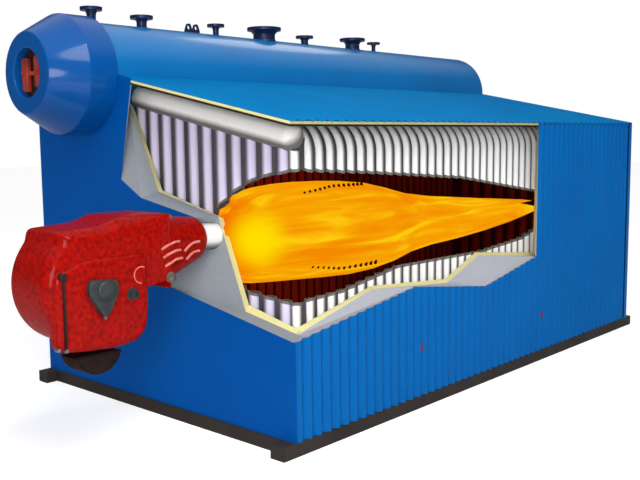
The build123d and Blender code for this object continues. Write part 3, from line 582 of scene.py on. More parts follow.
def on_right(u, v, w):
    return Vector((v, u, w))


def on_left(u, v, w):
    return Vector((-v, u, w))


def on_roof(u, v, w):
    return Vector((half_w - w * run_cos + v * run_sin, u, eave_z + w * run_sin + v * run_cos))


print("ribs along the roof:", round((sheet_end - front_sheet_in) / rib_pitch))

# %% [markdown]
# The right wall is cut low in front, where the window is, and reaches the roof behind it.
# Its rear part ends in the waves of the roof's underside, because a straight top would leave gaps or poke through.

# %% Corrugated sheets
sheet_seam = along(0.236)
side_cut = [(-half_l - 0.01, up(0.318) - 0.001), (along(-0.488), up(0.4086)), (along(-0.1), up(0.346)),
            (along(0.2276), up(0.4207)), (sheet_seam + 0.01, up(0.4207))]
left_top = roof_z(roof_start) - slope * 0.3 - sheet_t / run_cos - 0.0003
roof_run = roof_span / run_cos - 0.008


def roof_underside(u):
    # height of the roof sheet's underside along the eave, wave by wave, with a little play
    turns = round((sheet_end - front_sheet_in) / rib_pitch) * (u - front_sheet_in) / (sheet_end - front_sheet_in)
    return eave_z - (roof_rib_depth * dip(turns) + sheet_t) / run_cos - 0.0015


corrugated("right_lower_sheet", front_sheet_in, sheet_seam, half_w, rib_depth, skid_h,
           lambda u: on_line(side_cut, u), on_right, "wall_blue_painted_side_light", "right_lower_cladding")
corrugated("right_rear_sheet", sheet_seam, sheet_end - trim_w + 0.004, half_w, rib_depth, skid_h,
           roof_underside, on_right, "wall_blue_painted_side_light", "right_rear_cladding", tail=0.05)
corrugated("left_sheet", front_sheet_in, sheet_end, half_w, rib_depth, skid_h,
           lambda u: left_top, on_left, "wall_blue_painted_side_light", "left_cladding")
corrugated("roof_sheet", front_sheet_in, sheet_end, 0.0, roof_rib_depth, 0.0,
           lambda u: roof_run, on_roof, "roof_blue_painted_top_light", "roof_right_cladding")

# %% [markdown]
# The furnace is lined with tubes, and a window is torn through them, so each tube ends in a scalloped rim with
# a grey torn edge and a dark inside, painted shade in the same dark as the fins. Cutting round tubes with a Boolean
# would give a clean saw cut; three rings at each end, set to the heights of the torn line, give the ragged one.

# %% Helpers for torn tubes
torn_band, scallop, inner_share, inner_depth = 0.022, 0.012, 0.86, 0.08
fin_section = [(0.004, -1), (0.004, 1), (-0.004, 1), (-0.004, -1)]


def circle(radius, count, mid=(0.0, 0.0)):
    return [(mid[0] + radius * math.cos(a), mid[1] + radius * math.sin(a)) for a in angles(count)]


def fin(half):
    # section of the flat fin between two tubes, as offsets outward and along the wall
    return [(n, t * half) for n, t in fin_section]


def side_foot(plane, y, section):
    # a section on the furnace floor, in a wall that runs along the boiler
    return [Vector((plane + n, y + t, floor_z)) for n, t in section]


def front_foot(plane, x, section):
    # a section on the furnace floor, in a wall that runs across the boiler
    return [Vector((x + t, plane + n, floor_z)) for n, t in section]


def at_heights(ring, heights):
    return [Vector((p.x, p.y, z)) for p, z in zip(ring, heights)]


def raised(ring, height):
    # the ring at one height, or at a height that depends on the point
    return at_heights(ring, [height(p) if callable(height) else height for p in ring])


def torn_rings(ring, rim, sign, outward):
    # rings at a torn end: where the grey band starts, the scalloped rim, its inner edge, and a little way back inside
    middle = sum(ring, Vector()) / len(ring)
    heights = [rim(p) - sign * scallop * max(0.0, (p - middle).normalized().dot(outward)) for p in ring]
    inner = [middle + (p - middle) * inner_share for p in ring]
    return [at_heights(ring, [h + sign * torn_band for h in heights]), at_heights(ring, heights),
            at_heights(inner, heights), at_heights(inner, [h + sign * inner_depth for h in heights])]


def torn_tube(skin, foot, low, high, outward, rest):
    # the stub below the window, and above it the rest of the tube
    skin.rings([foot] + torn_rings(foot, low, -1, outward), [0, 2, 2, 1])
    skin.rings(torn_rings(foot, high, 1, outward)[::-1] + rest, [1, 2, 2] + [0] * len(rest))


def torn_fin(skin, foot, low, rest):
    skin.rings([foot, raised(foot, low)], 1, None, 2)
    skin.rings(rest, 1, 2, None)


print("torn band", torn_band)

# %% [markdown]
# The side tubes rise from the floor, bend under the roof and run up into the drum.
# A tube is a ring swept along a path in the plane across the boiler; the fins between the tubes are swept the same way.

# %% Side and roof tubes
side_count, side_end, side_tube_r = 40, half_l - 0.443, 0.038
side_pitch = 2 * side_end / (side_count - 1)
window_end = along(0.535)
rim_high = [(along(a), up(b)) for a, b in ((-0.95, 0.8446), (-0.588, 0.8194), (-0.119, 0.778), (0.145, 0.7315),
                                           (0.37, 0.692), (0.545, 0.599))]
rim_low = [(along(a), up(b)) for a, b in ((-0.95, 0.41), (-0.716, 0.4194), (-0.457, 0.4685), (0.011, 0.4649),
                                          (0.277, 0.4887), (0.436, 0.536), (0.545, 0.599))]
roof_corner = Vector((side_plane, 0, roof_z(side_plane) - 0.105))
bend_tangent, bend_angle, bend_steps = 0.18, math.pi / 2 - run_angle, 8
bend_r = bend_tangent / math.tan(bend_angle / 2)
side_wall_top = roof_corner.z - bend_tangent
run_to_drum = (roof_corner.x - drum_x) * run_cos + (drum_z - roof_corner.z) * run_sin - drum_r - 0.001


def bent_path(low):
    # points and directions from a height up the wall, round the bend and along the roof to the drum
    path = [(Vector((side_plane, 0, low)), Z), (Vector((side_plane, 0, side_wall_top)), Z)]
    centre = Vector((side_plane - bend_r, 0, side_wall_top))
    for i in range(1, bend_steps + 1):
        a = bend_angle * i / bend_steps
        path.append((centre + Vector((math.cos(a), 0, math.sin(a))) * bend_r,
                     Vector((-math.sin(a), 0, math.cos(a)))))
    return path + [(roof_corner + run_up * run_to_drum, run_up)]


def swept(path, section, at_y):
    # section of (outward, along the wall) offsets, carried along the path
    return [[point + Vector((way.z, 0, -way.x)) * n + Y * (at_y + t) for n, t in section] for point, way in path]


side_skin = Skin()
tube_section, side_fin = circle(side_tube_r, 20), fin(side_pitch / 2 - 0.03)
for i in range(side_count):
    y = -side_end + i * side_pitch
    if y < window_end:
        torn_tube(side_skin, side_foot(side_plane, y, tube_section), lambda p: on_line(rim_low, p.y),
                  lambda p: on_line(rim_high, p.y), X, swept(bent_path(side_wall_top), tube_section, y)[1:])
    else:
        side_skin.rings(swept(bent_path(floor_z), tube_section, y), 0)
for i in range(side_count - 1):
    y = -side_end + (i + 0.5) * side_pitch
    if y < window_end:
        rise = [(Vector((side_plane, 0, on_line(rim_high, y))), Z)] + bent_path(side_wall_top)[1:]
        torn_fin(side_skin, side_foot(side_plane, y, side_fin), lambda p: on_line(rim_low, p.y),
                 swept(rise, side_fin, y))
    else:
        side_skin.rings(swept(bent_path(floor_z), side_fin, y), 1)
# fins and the tubes' torn insides take the dark grey of painted shade
torn_paints = ["tube_white", "fin_painted_shade", "torn_edge"]
make_piece("side_and_roof_tubes", side_skin, torn_paints, ["right_tube_wall", "roof_tube_panel"], 50)

# %% [markdown]
# The front tubes are thicker, stand further apart and hang from an inclined header.
# Their window is the front half of the same torn opening. Left of it the tubes run through, which the same loop
# can tell from the place of each tube.

# %% Front tubes
front_count, front_tube_r = 11, 0.05
front_first, front_last = partition_plane + 0.135, side_plane - 0.087
front_pitch = (front_last - front_first) / (front_count - 1)
front_high = [(across(a), up(b)) for a, b in ((0.40, 0.50), (0.416, 0.5856), (0.428, 0.681), (0.4786, 0.7158),
                                              (0.5536, 0.7622), (0.649, 0.8023), (0.74, 0.8225), (0.921, 0.8446))]
front_low = [(across(a), up(b)) for a, b in ((0.40, 0.66), (0.416, 0.5856), (0.46, 0.51), (0.5026, 0.455),
                                             (0.593, 0.432), (0.664, 0.4225), (0.921, 0.4068))]
header_r, header_drop = 0.1, 0.178
window_left = across(0.416)


def header_low(p):
    # height at which a tube enters the header
    return roof_z(p.x) - header_drop - header_r * 0.9


def low_edge(p):
    return on_line(front_low, p.x)


def high_edge(p):
    return on_line(front_high, p.x)


front_skin = Skin()
for i in range(front_count):
    x = front_first + i * front_pitch
    foot = front_foot(front_plane, x, circle(front_tube_r, 24))
    if x - front_tube_r > window_left:
        torn_tube(front_skin, foot, low_edge, high_edge, -Y, [raised(foot, header_low)])
    else:
        front_skin.rings([foot, raised(foot, header_low)], 0)
for i in range(front_count - 1):
    x = front_first + (i + 0.5) * front_pitch
    foot = front_foot(front_plane, x, fin(front_pitch / 2 - 0.042))
    if x > window_left:
        torn_fin(front_skin, foot, low_edge, [raised(foot, high_edge), raised(foot, header_low)])
    else:
        front_skin.rings([foot, raised(foot, header_low)], 1)
make_piece("front_tubes", front_skin, ["tube_lilac_painted_shade"] + torn_paints[1:], ["front_tube_wall"], 50)

# %% [markdown]
# One torn tube joins the two walls at the corner, with a fin toward the first side tube.
# The header above is a straight pipe with a blunt round end, so a turned profile with a flattened dome makes it.

# %% Corner tube and header
corner_y, corner_low, corner_out = front_plane + 0.02, up(0.408), (X - Y).normalized()
corner_skin = Skin()
foot = side_foot(side_plane, corner_y, tube_section)
torn_tube(corner_skin, foot, lambda p: corner_low, lambda p: up(0.8405), corner_out, [raised(foot, header_low)])
foot = side_foot(side_plane, (corner_y - side_end) / 2, fin(0.038))
torn_fin(corner_skin, foot, corner_low, [raised(foot, up(0.8415)), raised(foot, side_wall_top + 0.1)])
make_piece("corner_tube_torn", corner_skin, torn_paints, ["corner_tube"], 50)

header_end, header_l, header_nose = side_plane + 0.06, 1.83, 0.075
header_origin = Vector((header_end, front_plane, roof_z(header_end) - header_drop))
nose = [(header_r * math.sin(a), header_nose * (1 - math.cos(a)))
        for a in [math.pi / 2 * (i + 0.3) / 10 for i in range(10)]]
header_skin = Skin()
header_skin.lathe(nose + [(header_r, header_nose), (header_r, header_l)], header_origin, run_up, Y, 48)
make_piece("front_header_round", header_skin, ["header_white_painted_shade"], ["front_header"], 40)

# %% [markdown]
# Through the window the far tubes show: the partition below the drum and the rear wall, in painted dull red flame
# light.
# Plain upright tubes with fins in painted dark shade between them are enough there, with wider strips to close the
# ends.

# %% Hot inner tube walls
flame_lit_paints = ["tube_painted_flame_light", "gap_painted_shade_and_flame_light"]
partition_top = drum_z - math.sqrt(drum_r**2 - (partition_plane - 0.042 - drum_x) ** 2) - 0.001
under_drum = [(-0.6, 2.38), (-0.4, 2.55), (-0.39, 9)]
end_strip = side_end + side_pitch * 0.67


def upright(skin, foot, height, colour):
    skin.rings([foot, raised(foot, height)], colour)


hot_skin = Skin()
for i in range(side_count):
    y = -side_end + i * side_pitch
    upright(hot_skin, side_foot(partition_plane, y, circle(side_tube_r, 16)), partition_top, 0)
    if i:
        upright(hot_skin, side_foot(partition_plane, y - side_pitch / 2, fin(0.03)), partition_top, 1)
for y in (-end_strip, end_strip):
    upright(hot_skin, side_foot(partition_plane, y, fin(0.06)), partition_top, 1)
make_piece("partition_tubes", hot_skin, flame_lit_paints, ["partition_tube_wall"], 50)

rear_skin = Skin()
for i in range(front_count):
    x = front_first + i * front_pitch
    upright(rear_skin, front_foot(-front_plane, x, circle(front_tube_r, 16)),
            lambda p: min(roof_z(p.x) - 0.06, on_line(under_drum, p.x)), 0)
    if i:
        upright(rear_skin, front_foot(-front_plane, x - front_pitch / 2, fin(0.045)), roof_z(x) - 0.1, 1)
    else:
        upright(rear_skin, front_foot(-front_plane, x - 0.085, fin(0.075)), partition_top, 1)
make_piece("rear_tubes", rear_skin, flame_lit_paints, ["rear_tube_wall"], 50)

# %% [markdown]
# The steam drum is a long glossy cylinder with a dished rear end. A turned profile gives both in one skin.
# The rear end bulges as a flattened dome, drawn with a few rings between the solid's flats.

# %% Steam drum
dome_share, dome_steps = 0.42, 14
dome = [(drum_r * math.cos(a) ** 0.8, half_l + dome_share * drum_r * math.sin(a))
        for a in [math.pi / 2 * i / dome_steps for i in range(dome_steps)]]
barrel = [(drum_r, -half_l - 0.19)] + [(drum_r, -half_l + 0.5 * i) for i in range(11)]
drum_skin = Skin()
drum_skin.lathe(barrel + dome, Vector((drum_x, 0, drum_z)), Y, Z, 96)
make_piece("drum_shell_smooth", drum_skin, ["drum_blue"], ["steam_drum_shell"], 40)

# %% [markdown]
# A sheet-metal hood covers the insulated front end: a jacket, a sloping nose and a flat face with a round well.
# The ridges are folded sheet, so each has a narrow rounded edge, put into the profile before it is turned.

# %% Drum hood
def rounded(corners, radius, steps=5, closed=True):
    # the same outline with each corner replaced by a short arc-like bend
    out, count = [], len(corners)
    for i, here in enumerate(corners):
        here = Vector(here)
        if not closed and i in (0, count - 1):
            out.append(here)
            continue
        before, after = Vector(corners[i - 1]), Vector(corners[(i + 1) % count])
        back, on = before - here, after - here
        cut = min(radius, 0.45 * back.length, 0.45 * on.length)
        start, end = here + back.normalized() * cut, here + on.normalized() * cut
        for t in [s / steps for s in range(steps + 1)]:
            out.append(start * (1 - t) ** 2 + here * 2 * t * (1 - t) + end * t**2)
    return out


hood_r, hood_l, face_r, nose_l, well_r, well_depth = 0.49, 0.25, 0.326, 0.278, 0.195, 0.088
face_y = -hood_l - nose_l
hood_line = [(drum_r + 0.001, 0.0), (hood_r - 0.006, 0.0), (hood_r, -0.006), (hood_r, -hood_l), (face_r, face_y),
             (well_r, face_y), (well_r, face_y + well_depth)]
hood_profile = [(min(p.x, hood_r - 0.0005), p.y) for p in rounded(hood_line, 0.012, 4, closed=False)]
hood_skin = Skin()
hood_skin.rings(turned(hood_profile, Vector((drum_x, -half_l, drum_z)), Y, Z, 96), 0)
make_piece("drum_hood_folded", hood_skin, ["hood_blue"], ["drum_front_hood"], 24)

# %% [markdown]
# The well shows the manhole: a dished cover and the yokes that hold it, two upright and one across, with nuts.
# The yokes are thick plates, so each outline is drawn in two levels and a slightly smaller third for the bevel.

# %% Manhole
cover_t = 0.024
well = Vector((drum_x, -half_l + face_y + well_depth, drum_z))
cover_line = [(well_r - 0.001, 0.0), (well_r - 0.001, -0.018), (well_r - 0.012, -cover_t), (0.15, -cover_t),
              (0.142, -0.018), (0.02, -0.014)]
cover_skin = Skin()
cover_skin.lathe(cover_line, well, Y, Z, 64)
make_piece("manhole_cover_dished", cover_skin, ["dark_brown_and_painted_shade"], ["manhole_cover"], 30)

yoke_skin = Skin()
yokes = ((-0.4, -0.06, 0.42, 1.36, 0.034), (0.5, 0.06, 0.3, 1.26, 0.034), (0.05, 0.0, 0.62, 0.16, 0.028))
for mid_x, mid_z, wide, high, deep in yokes:
    # middle, width and height are shares of the well's radius
    outline = [((mid_x + a * wide / 2) * well_r, (mid_z + b * high / 2) * well_r)
               for a, b in ((-1, -1), (1, -1), (1, 1), (-1, 1))]
    centre = Vector((mid_x * well_r, mid_z * well_r))
    levels = []
    for out, keep in ((0.0, 1.0), (deep - 0.006, 1.0), (deep, 0.9)):
        level = [centre + (p - centre) * keep for p in rounded(outline, 0.012, 4)]
        levels.append([well + Vector((p.x, -cover_t - out, p.y)) for p in level])
    yoke_skin.closed(levels)
for stud_x in (-0.4, 0.5):
    yoke_skin.lathe([(0.02, 0.0), (0.02, -0.008), (0.016, -0.008), (0.016, -0.02)],
                    well + Vector((stud_x * well_r, -0.056, 0)), Y, Z, 6)
make_piece("manhole_yokes_bevelled", yoke_skin, ["yoke_brown"], ["manhole_yokes"], 30)

# %% [markdown]
# Flanges and lugs are plates with holes. A Boolean for each hole would be slow and leave uneven faces,
# so the plate's two faces are filled round the holes, and walls join the two levels.

# %% Helper for holed plates
def holed_plate(skin, outline, holes, low, high, put):
    work = bmesh.new()
    loops = [[[work.verts.new(put(a, b, level)) for a, b in loop] for level in (low, high)]
             for loop in [outline] + holes]
    for level in (0, 1):
        edges = []
        for pair in loops:
            ring = pair[level]
            edges += [work.edges.new((ring[i], ring[(i + 1) % len(ring)])) for i in range(len(ring))]
        bmesh.ops.triangle_fill(work, use_beauty=True, edges=edges)
    for under, over in loops:
        for i in range(len(under)):
            j = (i + 1) % len(under)
            work.faces.new((under[i], under[j], over[j], over[i]))
    work.verts.index_update()
    base = len(skin.points)
    skin.points.extend(v.co.copy() for v in work.verts)
    for face in work.faces:
        skin.faces.append(tuple(base + v.index for v in face.verts))
        skin.paints.append(0)
    work.free()


print("plate helper ready")

# %% [markdown]
# Seven nozzles rise from the drum: a pipe with a weld bead at its foot, a hub that widens upward and a flange.
# The flange has bolt holes and a raised face, which matter from above.

# %% Nozzles
pipe_wall, hub_share, large_flange, large_hole, small_hole = 0.006, 1.3, 0.12, 0.011, 0.009
nozzles = [  # place along the drum, pipe radius, flange radius, flange thickness, height, bolt holes
    (-0.9655, 0.038, 0.092, 0.032, 0.13, 4), (-0.7785, 0.0445, 0.1, 0.032, 0.105, 8),
    (-0.4647, 0.0285, 0.082, 0.028, 0.105, 4), (-0.2309, 0.1095, 0.17, 0.034, 0.125, 12),
    (-0.0142, 0.038, 0.092, 0.028, 0.09, 4), (0.2716, 0.0795, 0.142, 0.032, 0.12, 8),
    (0.4098, 0.0225, 0.075, 0.026, 0.105, 4)]
nozzle_skin = Skin()
for place, pipe_r, flange_r, flange_t, tall, bolts in nozzles:
    origin = Vector((drum_x, along(place), drum_top))
    under, bore = tall - flange_t, pipe_r - pipe_wall
    bead = [(pipe_r + 0.007, -0.03), (pipe_r + 0.007, -0.002), (pipe_r + 0.004, 0.005), (pipe_r, 0.008)]
    hub = [(pipe_r, under - 0.4 * under), (1.06 * pipe_r, under - 0.3 * under), (hub_share * pipe_r, under)]
    nozzle_skin.rings(turned(bead + hub, origin, Z, X, 40), 0)
    nozzle_skin.rings(turned([(bore, tall), (bore, -0.035)], origin, Z, X, 40), 1)
    bolt_r = (flange_r + hub_share * pipe_r) / 2
    hole = large_hole if flange_r > large_flange else small_hole
    holes = [circle(hole, 12, (bolt_r * math.cos(a), bolt_r * math.sin(a)))
             for a in [math.pi * (2 * i + 1) / bolts for i in range(bolts)]]
    holed_plate(nozzle_skin, circle(flange_r, 48), holes + [circle(bore, 40)], under, tall - 0.003,
                lambda a, b, level: origin + Vector((a, b, level)))
    raised_r = bolt_r - hole - 0.004
    nozzle_skin.rings(turned([(bore, tall), (raised_r, tall), (raised_r, tall - 0.004)], origin, Z, X, 40), 0)
make_piece("nozzles_turned", nozzle_skin, ["nozzle_navy", "dark_brown_and_painted_shade"], ["drum_nozzles"], 35)

# %% [markdown]
# Two lifting lugs stand between the nozzles: rounded plates with an eye, welded to the drum with a bead.
# Their edges are only broken, not rounded, so a small bevel is enough.

# %% Lifting lugs
lug_half_t, eye_r, eye_up = 0.012, 0.019, 0.046
lug_line = [(-0.041, -0.004), (-0.041, 0.018), (-0.018, 0.0815), (0.018, 0.0815), (0.041, 0.018), (0.041, -0.004)]
lug_bead = rounded([(-0.046, -0.018), (0.046, -0.018), (0.046, 0.018), (-0.046, 0.018)], 0.008, 3)
lug_skin = Skin()
for lug_y in (along(-0.5866), along(-0.555)):
    holed_plate(lug_skin, rounded(lug_line, 0.016, 5), [circle(eye_r, 24, (0, eye_up))], -lug_half_t, lug_half_t,
                lambda a, b, level: Vector((drum_x + level, lug_y + a, drum_top + b)))
    base = [Vector((drum_x + p.y, lug_y + p.x, drum_top - 0.004)) for p in lug_bead]
    crown = [Vector((drum_x + p.y * 0.72, lug_y + p.x * 0.92, drum_top + 0.006)) for p in lug_bead]
    lug_skin.closed([base, crown])
lugs = make_piece("lifting_lugs_rounded", lug_skin, ["nozzle_navy"], ["lifting_lugs"], 30)
soft_edge = lugs.modifiers.new("soft_edge", "BEVEL")
soft_edge.width = 0.002
soft_edge.segments = 2

# %% [markdown]
# The burner housing is a red casting: a fan scroll behind, a flat duct on top and a bulge in front.
# Its side outline is carried across the width in layers that shrink near both sides, which gives the large
# rounded edges of a casting better than a bevel on a flat extrusion. The end that meets the head stays square.

# %% Burner housing
wall_y = -half_l
cone_end, nose_y, cone_back, flange_back = wall_y - 0.015, wall_y - 0.04, wall_y - 0.44, wall_y - 0.46
housing_w, housing_edge, square_end = 0.5, 0.09, 0.3
side_x = burner_x + housing_w / 2
round_steps = [math.pi / 2 * i / 8 for i in range(9)]


def at_burner(x, y, z):
    # outlines of the burner are given from the back of its flange, at the height of its axis
    return Vector((x, flange_back + y, burner_z + z))


def layer(rim, middle, x, inset):
    # the outline at one place across the width, drawn in towards its middle, less and less near the flange
    ring = []
    for p in rim:
        arm = p - middle
        q = middle + arm * max(0.0, 1 - inset / arm.length)
        q = p + (q - p) * min(1.0, max(0.0, -p.x / square_end))
        ring.append(at_burner(x, q.x, q.y))
    return ring


scroll_mid, scroll_r = Vector((-0.5274, -0.2032)), 0.417
scroll = [scroll_mid + Vector((math.cos(a), math.sin(a))) * scroll_r
          for a in [math.radians(140 + 108 * i / 14) for i in range(15)]]
body_line = [(-0.1755, -0.2703), (0.05, -0.225), (0.05, 0.2205), (-0.3501, 0.2295), (-0.4896, 0.1815),
             (-0.8125, 0.1645), (-0.83, 0.09)] + [tuple(p) for p in scroll]
body_line += [(-0.658, -0.6), (-0.4554, -0.632), (-0.29, -0.6115), (-0.2125, -0.5395), (-0.182, -0.373)]
body_rim = [Vector((min(p.x, 0.0), p.y)) for p in rounded(body_line, 0.05, 5)]
body_mid = Vector((-0.45, -0.2))
insets = [(housing_edge * (1 - math.cos(a)), housing_edge * (1 - math.sin(a))) for a in round_steps]
body_skin = Skin()
body_skin.closed([layer(body_rim, body_mid, burner_x - housing_w / 2 + step, inset) for step, inset in insets] +
                 [layer(body_rim, body_mid, side_x - step, inset) for step, inset in reversed(insets)])
# three screw heads on the top edge, in the pale pink of a painted highlight
for y, z in ((-0.221, 0.222), (-0.112, 0.2195), (-0.08, 0.2185)):
    screw = at_burner(burner_x + 0.13, y, z - 0.012)
    body_skin.lathe([(0.016, 0.0), (0.016, 0.012), (0.01, 0.0135)], screw, Z, X, 6, 1)
cast_paints = ["burner_red", "pink_painted_highlight"]
make_piece("burner_casting", body_skin, cast_paints, ["burner_housing"], 60)

# %% [markdown]
# On the right side sits the fan cover, a shallow pillow-shaped lid with a rib along its edge.
# The same layers make it, only thinner, and a swept round bead follows its outline.
# Its wide round shoulder catches the lamp, as on the object.

# %% Fan cover with its bead
def bead_along(skin, points, radius, colour=0, count=8, closed=False):
    # round bar through a line of points, each ring square to the line
    rings = []
    for i, here in enumerate(points):
        before = points[i - 1] if closed or i else here
        after = points[(i + 1) % len(points)] if closed or i < len(points) - 1 else here
        way = (after - before).normalized()
        side = way.cross(X if abs(way.x) < 0.9 else Y).normalized()
        other = way.cross(side)
        rings.append([here + (side * math.cos(a) + other * math.sin(a)) * radius for a in angles(count)])
    if closed:
        skin.rings(rings + [rings[0]], colour)
    else:
        skin.closed(rings, colour)


lid_rim = rounded([(-0.899, -0.577), (-0.899, -0.096), (-0.69, -0.0205), (-0.21, -0.0205), (-0.2, -0.3715),
                   (-0.2225, -0.535), (-0.297, -0.601), (-0.4555, -0.62), (-0.69, -0.604)], 0.06, 5)
lid_mid = Vector((-0.55, -0.31))
lid_x, lid_round, shoulder, port_r = side_x + 0.035, 0.034, 0.05, 0.055
lid_skin = Skin()
lid_skin.closed([layer(lid_rim, lid_mid, side_x - 0.06, 0.0)] +
                [layer(lid_rim, lid_mid, lid_x - lid_round + lid_round * math.sin(a), shoulder * (1 - math.cos(a)))
                 for a in round_steps])
bead_along(lid_skin, layer(lid_rim, lid_mid, side_x + 0.002, -0.001), 0.006, closed=True)
# the pale ring bead round the port is a painted highlight
port = at_burner(lid_x - 0.002, -0.265, -0.165)
port_arc = [math.radians(60 + 15 * i) for i in range(15)]
bead_along(lid_skin, [port + (Y * math.cos(a) + Z * math.sin(a)) * port_r for a in port_arc], 0.005, 1)
make_piece("fan_cover", lid_skin, cast_paints, ["burner_side_cover"], 60)

# %% [markdown]
# Small fittings make the burner readable: the dark three-cornered air setting cap with its pointer and screws,
# and a round sight glass with a ring. The cap is one more outline in layers, and the rest is turned.

# %% Cap and sight glass
cap_rim = rounded([(-0.68, -0.15), (-0.47, -0.165), (-0.468, -0.25), (-0.55, -0.3915), (-0.592, -0.3915),
                   (-0.6945, -0.232)], 0.045, 6)
cap_mid, cap_h = Vector((-0.575, -0.235)), 0.046
cap_skin = Skin()
cap_skin.closed([layer(cap_rim, cap_mid, lid_x + out, inset)
                 for out, inset in ((-0.02, 0.0), (0.034, 0.0), (0.044, 0.008), (cap_h, 0.018))])
boss = at_burner(lid_x + cap_h, -0.567, -0.225)
cap_skin.lathe([(0.065, -0.002), (0.065, 0.006), (0.057, 0.0125), (0.02, 0.0135)], boss, X, Y, 32)
for a in (math.radians(90), math.radians(210), math.radians(330)):
    screw = Vector((lid_x + 0.044, boss.y + 0.085 * math.cos(a), boss.z + 0.062 * math.sin(a)))
    cap_skin.lathe([(0.008, -0.002), (0.008, 0.005), (0.005, 0.008)], screw, X, Y, 12)
pointer = at_burner(lid_x + 0.02, -0.57, -0.38)
cap_skin.lathe([(0.012, 0.0), (0.012, -0.024), (0.005, -0.036)], pointer, Z, X, 12, 1)
make_piece("air_setting_cap", cap_skin, ["dark_plastic", "bare_steel"], ["burner_servo_cap"], 35)

glass_line = [(0.042, -0.02), (0.042, 0.006), (0.032, 0.008), (0.032, 0.036), (0.027, 0.044), (0.019, 0.044),
              (0.017, 0.034), (0.006, 0.032)]
glass_skin = Skin()
glass_skin.lathe(glass_line, at_burner(lid_x, -0.3447, -0.2822), X, Y, 32)
make_piece("sight_glass", glass_skin, ["dark_plastic"], ["burner_sight_knob"], 35)

# %% [markdown]
# A dark hinge bar with a knob stands behind the fan cover, and two bolts hold its foot.
# The bar is a flat with chamfered sides, so four points and two heights are all it needs.

# %% Hinge bar
bar_y, bar_x = flange_back - 0.8523, lid_x - 0.03
bar_line = ((0.0, -0.011), (0.044, -0.008), (0.044, 0.008), (0.0, 0.011))
bar_skin = Skin()
bar_skin.closed([[Vector((bar_x + dx, bar_y + dy, z)) for dx, dy in bar_line]
                 for z in (burner_z - 0.555, burner_z - 0.114)])
knob = Vector((bar_x, bar_y, burner_z - 0.109))
bar_skin.lathe([(0.022, 0.0), (0.027, 0.012), (0.027, 0.042), (0.02, 0.0485)], knob, X, Y, 24)
for dy, dz in ((-0.045, -0.562), (0.012, -0.576)):
    bolt = Vector((lid_x - 0.035, bar_y + dy, burner_z + dz))
    bar_skin.lathe([(0.014, 0.0), (0.014, 0.034), (0.01, 0.038)], bolt, X, Y, 6, 1)
make_piece("hinge_bar", bar_skin, ["dark_brown_and_painted_shade", "bare_steel"], ["burner_hinge_bar"], 35)

# %% [markdown]
# Air comes in below through a round grille. Its skin is a half drum with a woven mesh,
# made as crossing wires over a dark body, painted shade inside the inlet, so that the openings read as holes.

# %% Air inlet grille
inlet_mid, inlet_r = Vector((flange_back - 0.558, burner_z - 0.6163)), 0.1795
inlet_left, inlet_right = burner_x + 0.011, burner_x + 0.209
wire_r, side_r = 0.0025, inlet_r - 0.012
inlet_arc = [math.radians(196 + 148 * i / 28) for i in range(29)]


def inlet_ring(x, radius):
    return [Vector((x, inlet_mid.x + radius * math.cos(a), inlet_mid.y + radius * math.sin(a))) for a in inlet_arc]


def wire(points):
    bead_along(inlet_skin, points, wire_r, 1, 5)


inlet_skin = Skin()
inlet_skin.closed([inlet_ring(inlet_left, inlet_r - 0.01), inlet_ring(inlet_left + 0.006, inlet_r - 0.004),
                   inlet_ring(inlet_right - 0.006, inlet_r - 0.004), inlet_ring(inlet_right, inlet_r - 0.01)])
for i in range(11):
    wire(inlet_ring(inlet_left + 0.008 + (inlet_right - inlet_left - 0.016) * i / 10, inlet_r - wire_r))
for ends in list(zip(inlet_ring(inlet_left + 0.004, inlet_r - wire_r),
                     inlet_ring(inlet_right - 0.004, inlet_r - wire_r)))[1:-1]:
    wire(ends)
for x in (inlet_left + 0.001, inlet_right - 0.001):
    for i in range(2, 9):
        z = inlet_mid.y - inlet_r * i / 9
        reach = math.sqrt(side_r**2 - (z - inlet_mid.y) ** 2)
        wire([Vector((x, inlet_mid.x - reach, z)), Vector((x, inlet_mid.x + reach, z))])
    for i in range(-7, 8):
        y = inlet_r * i / 9
        wire([Vector((x, inlet_mid.x + y, inlet_mid.y - 0.045)),
              Vector((x, inlet_mid.x + y, inlet_mid.y - math.sqrt(side_r**2 - y**2)))])
make_piece("air_inlet_grille", inlet_skin, ["grille_black", "dark_brown_and_painted_shade"], ["burner_air_inlet"], 40)

# %% [markdown]
# The burner head starts as square as the housing and narrows to a round nose.
# Its rings change from a rounded square to a circle, which a plain cone could not do: each row gives the half
# width, the height above and below the axis, and how square the ring is.

# %% Burner head
nose_r, tip_r, head_start, head_sides = 0.157, 0.132, -3.315, 72
head_line = [(head_start, 0.243, 0.204, 0.252, 4.5), (-3.19, 0.238, 0.188, 0.282, 3.4),
             (-2.99, 0.2, 0.175, 0.222, 2.6), (nose_y - 0.012, 0.159, 0.158, 0.161, 2.1),
             (nose_y, nose_r - 0.005, nose_r - 0.005, nose_r - 0.005, 2.0), (cone_end, tip_r, tip_r, tip_r, 2.0)]


def on_head(y, angle, lift=0.0):
    # point of the head at a place along it, or lifted off its surface
    wide, above, below, square = row_at(head_line, y)
    c, s = math.cos(angle), math.sin(angle)
    reach = 1 / (abs(c) ** square + abs(s) ** square) ** (1 / square)
    high, middle = (above + below) / 2 + lift, (above - below) / 2
    return Vector((burner_x + (wide + lift) * reach * c, y, burner_z + middle + high * reach * s))


head_skin = Skin()
head_steps = [head_start + 0.025 * i for i in range(21)] + [nose_y - 0.012, nose_y, cone_end]
head_skin.closed([[on_head(y, a) for a in angles(head_sides)] for y in head_steps])
print("head rings:", len(head_steps))

# %% [markdown]
# The head carries the mounting flange with its bolts and the hinge nut, and two columns of louvres lie on
# its near side. The louvres are pressed slots; a raised bead along each reads the same and needs no cut, and its pale
# pink is a painted highlight.

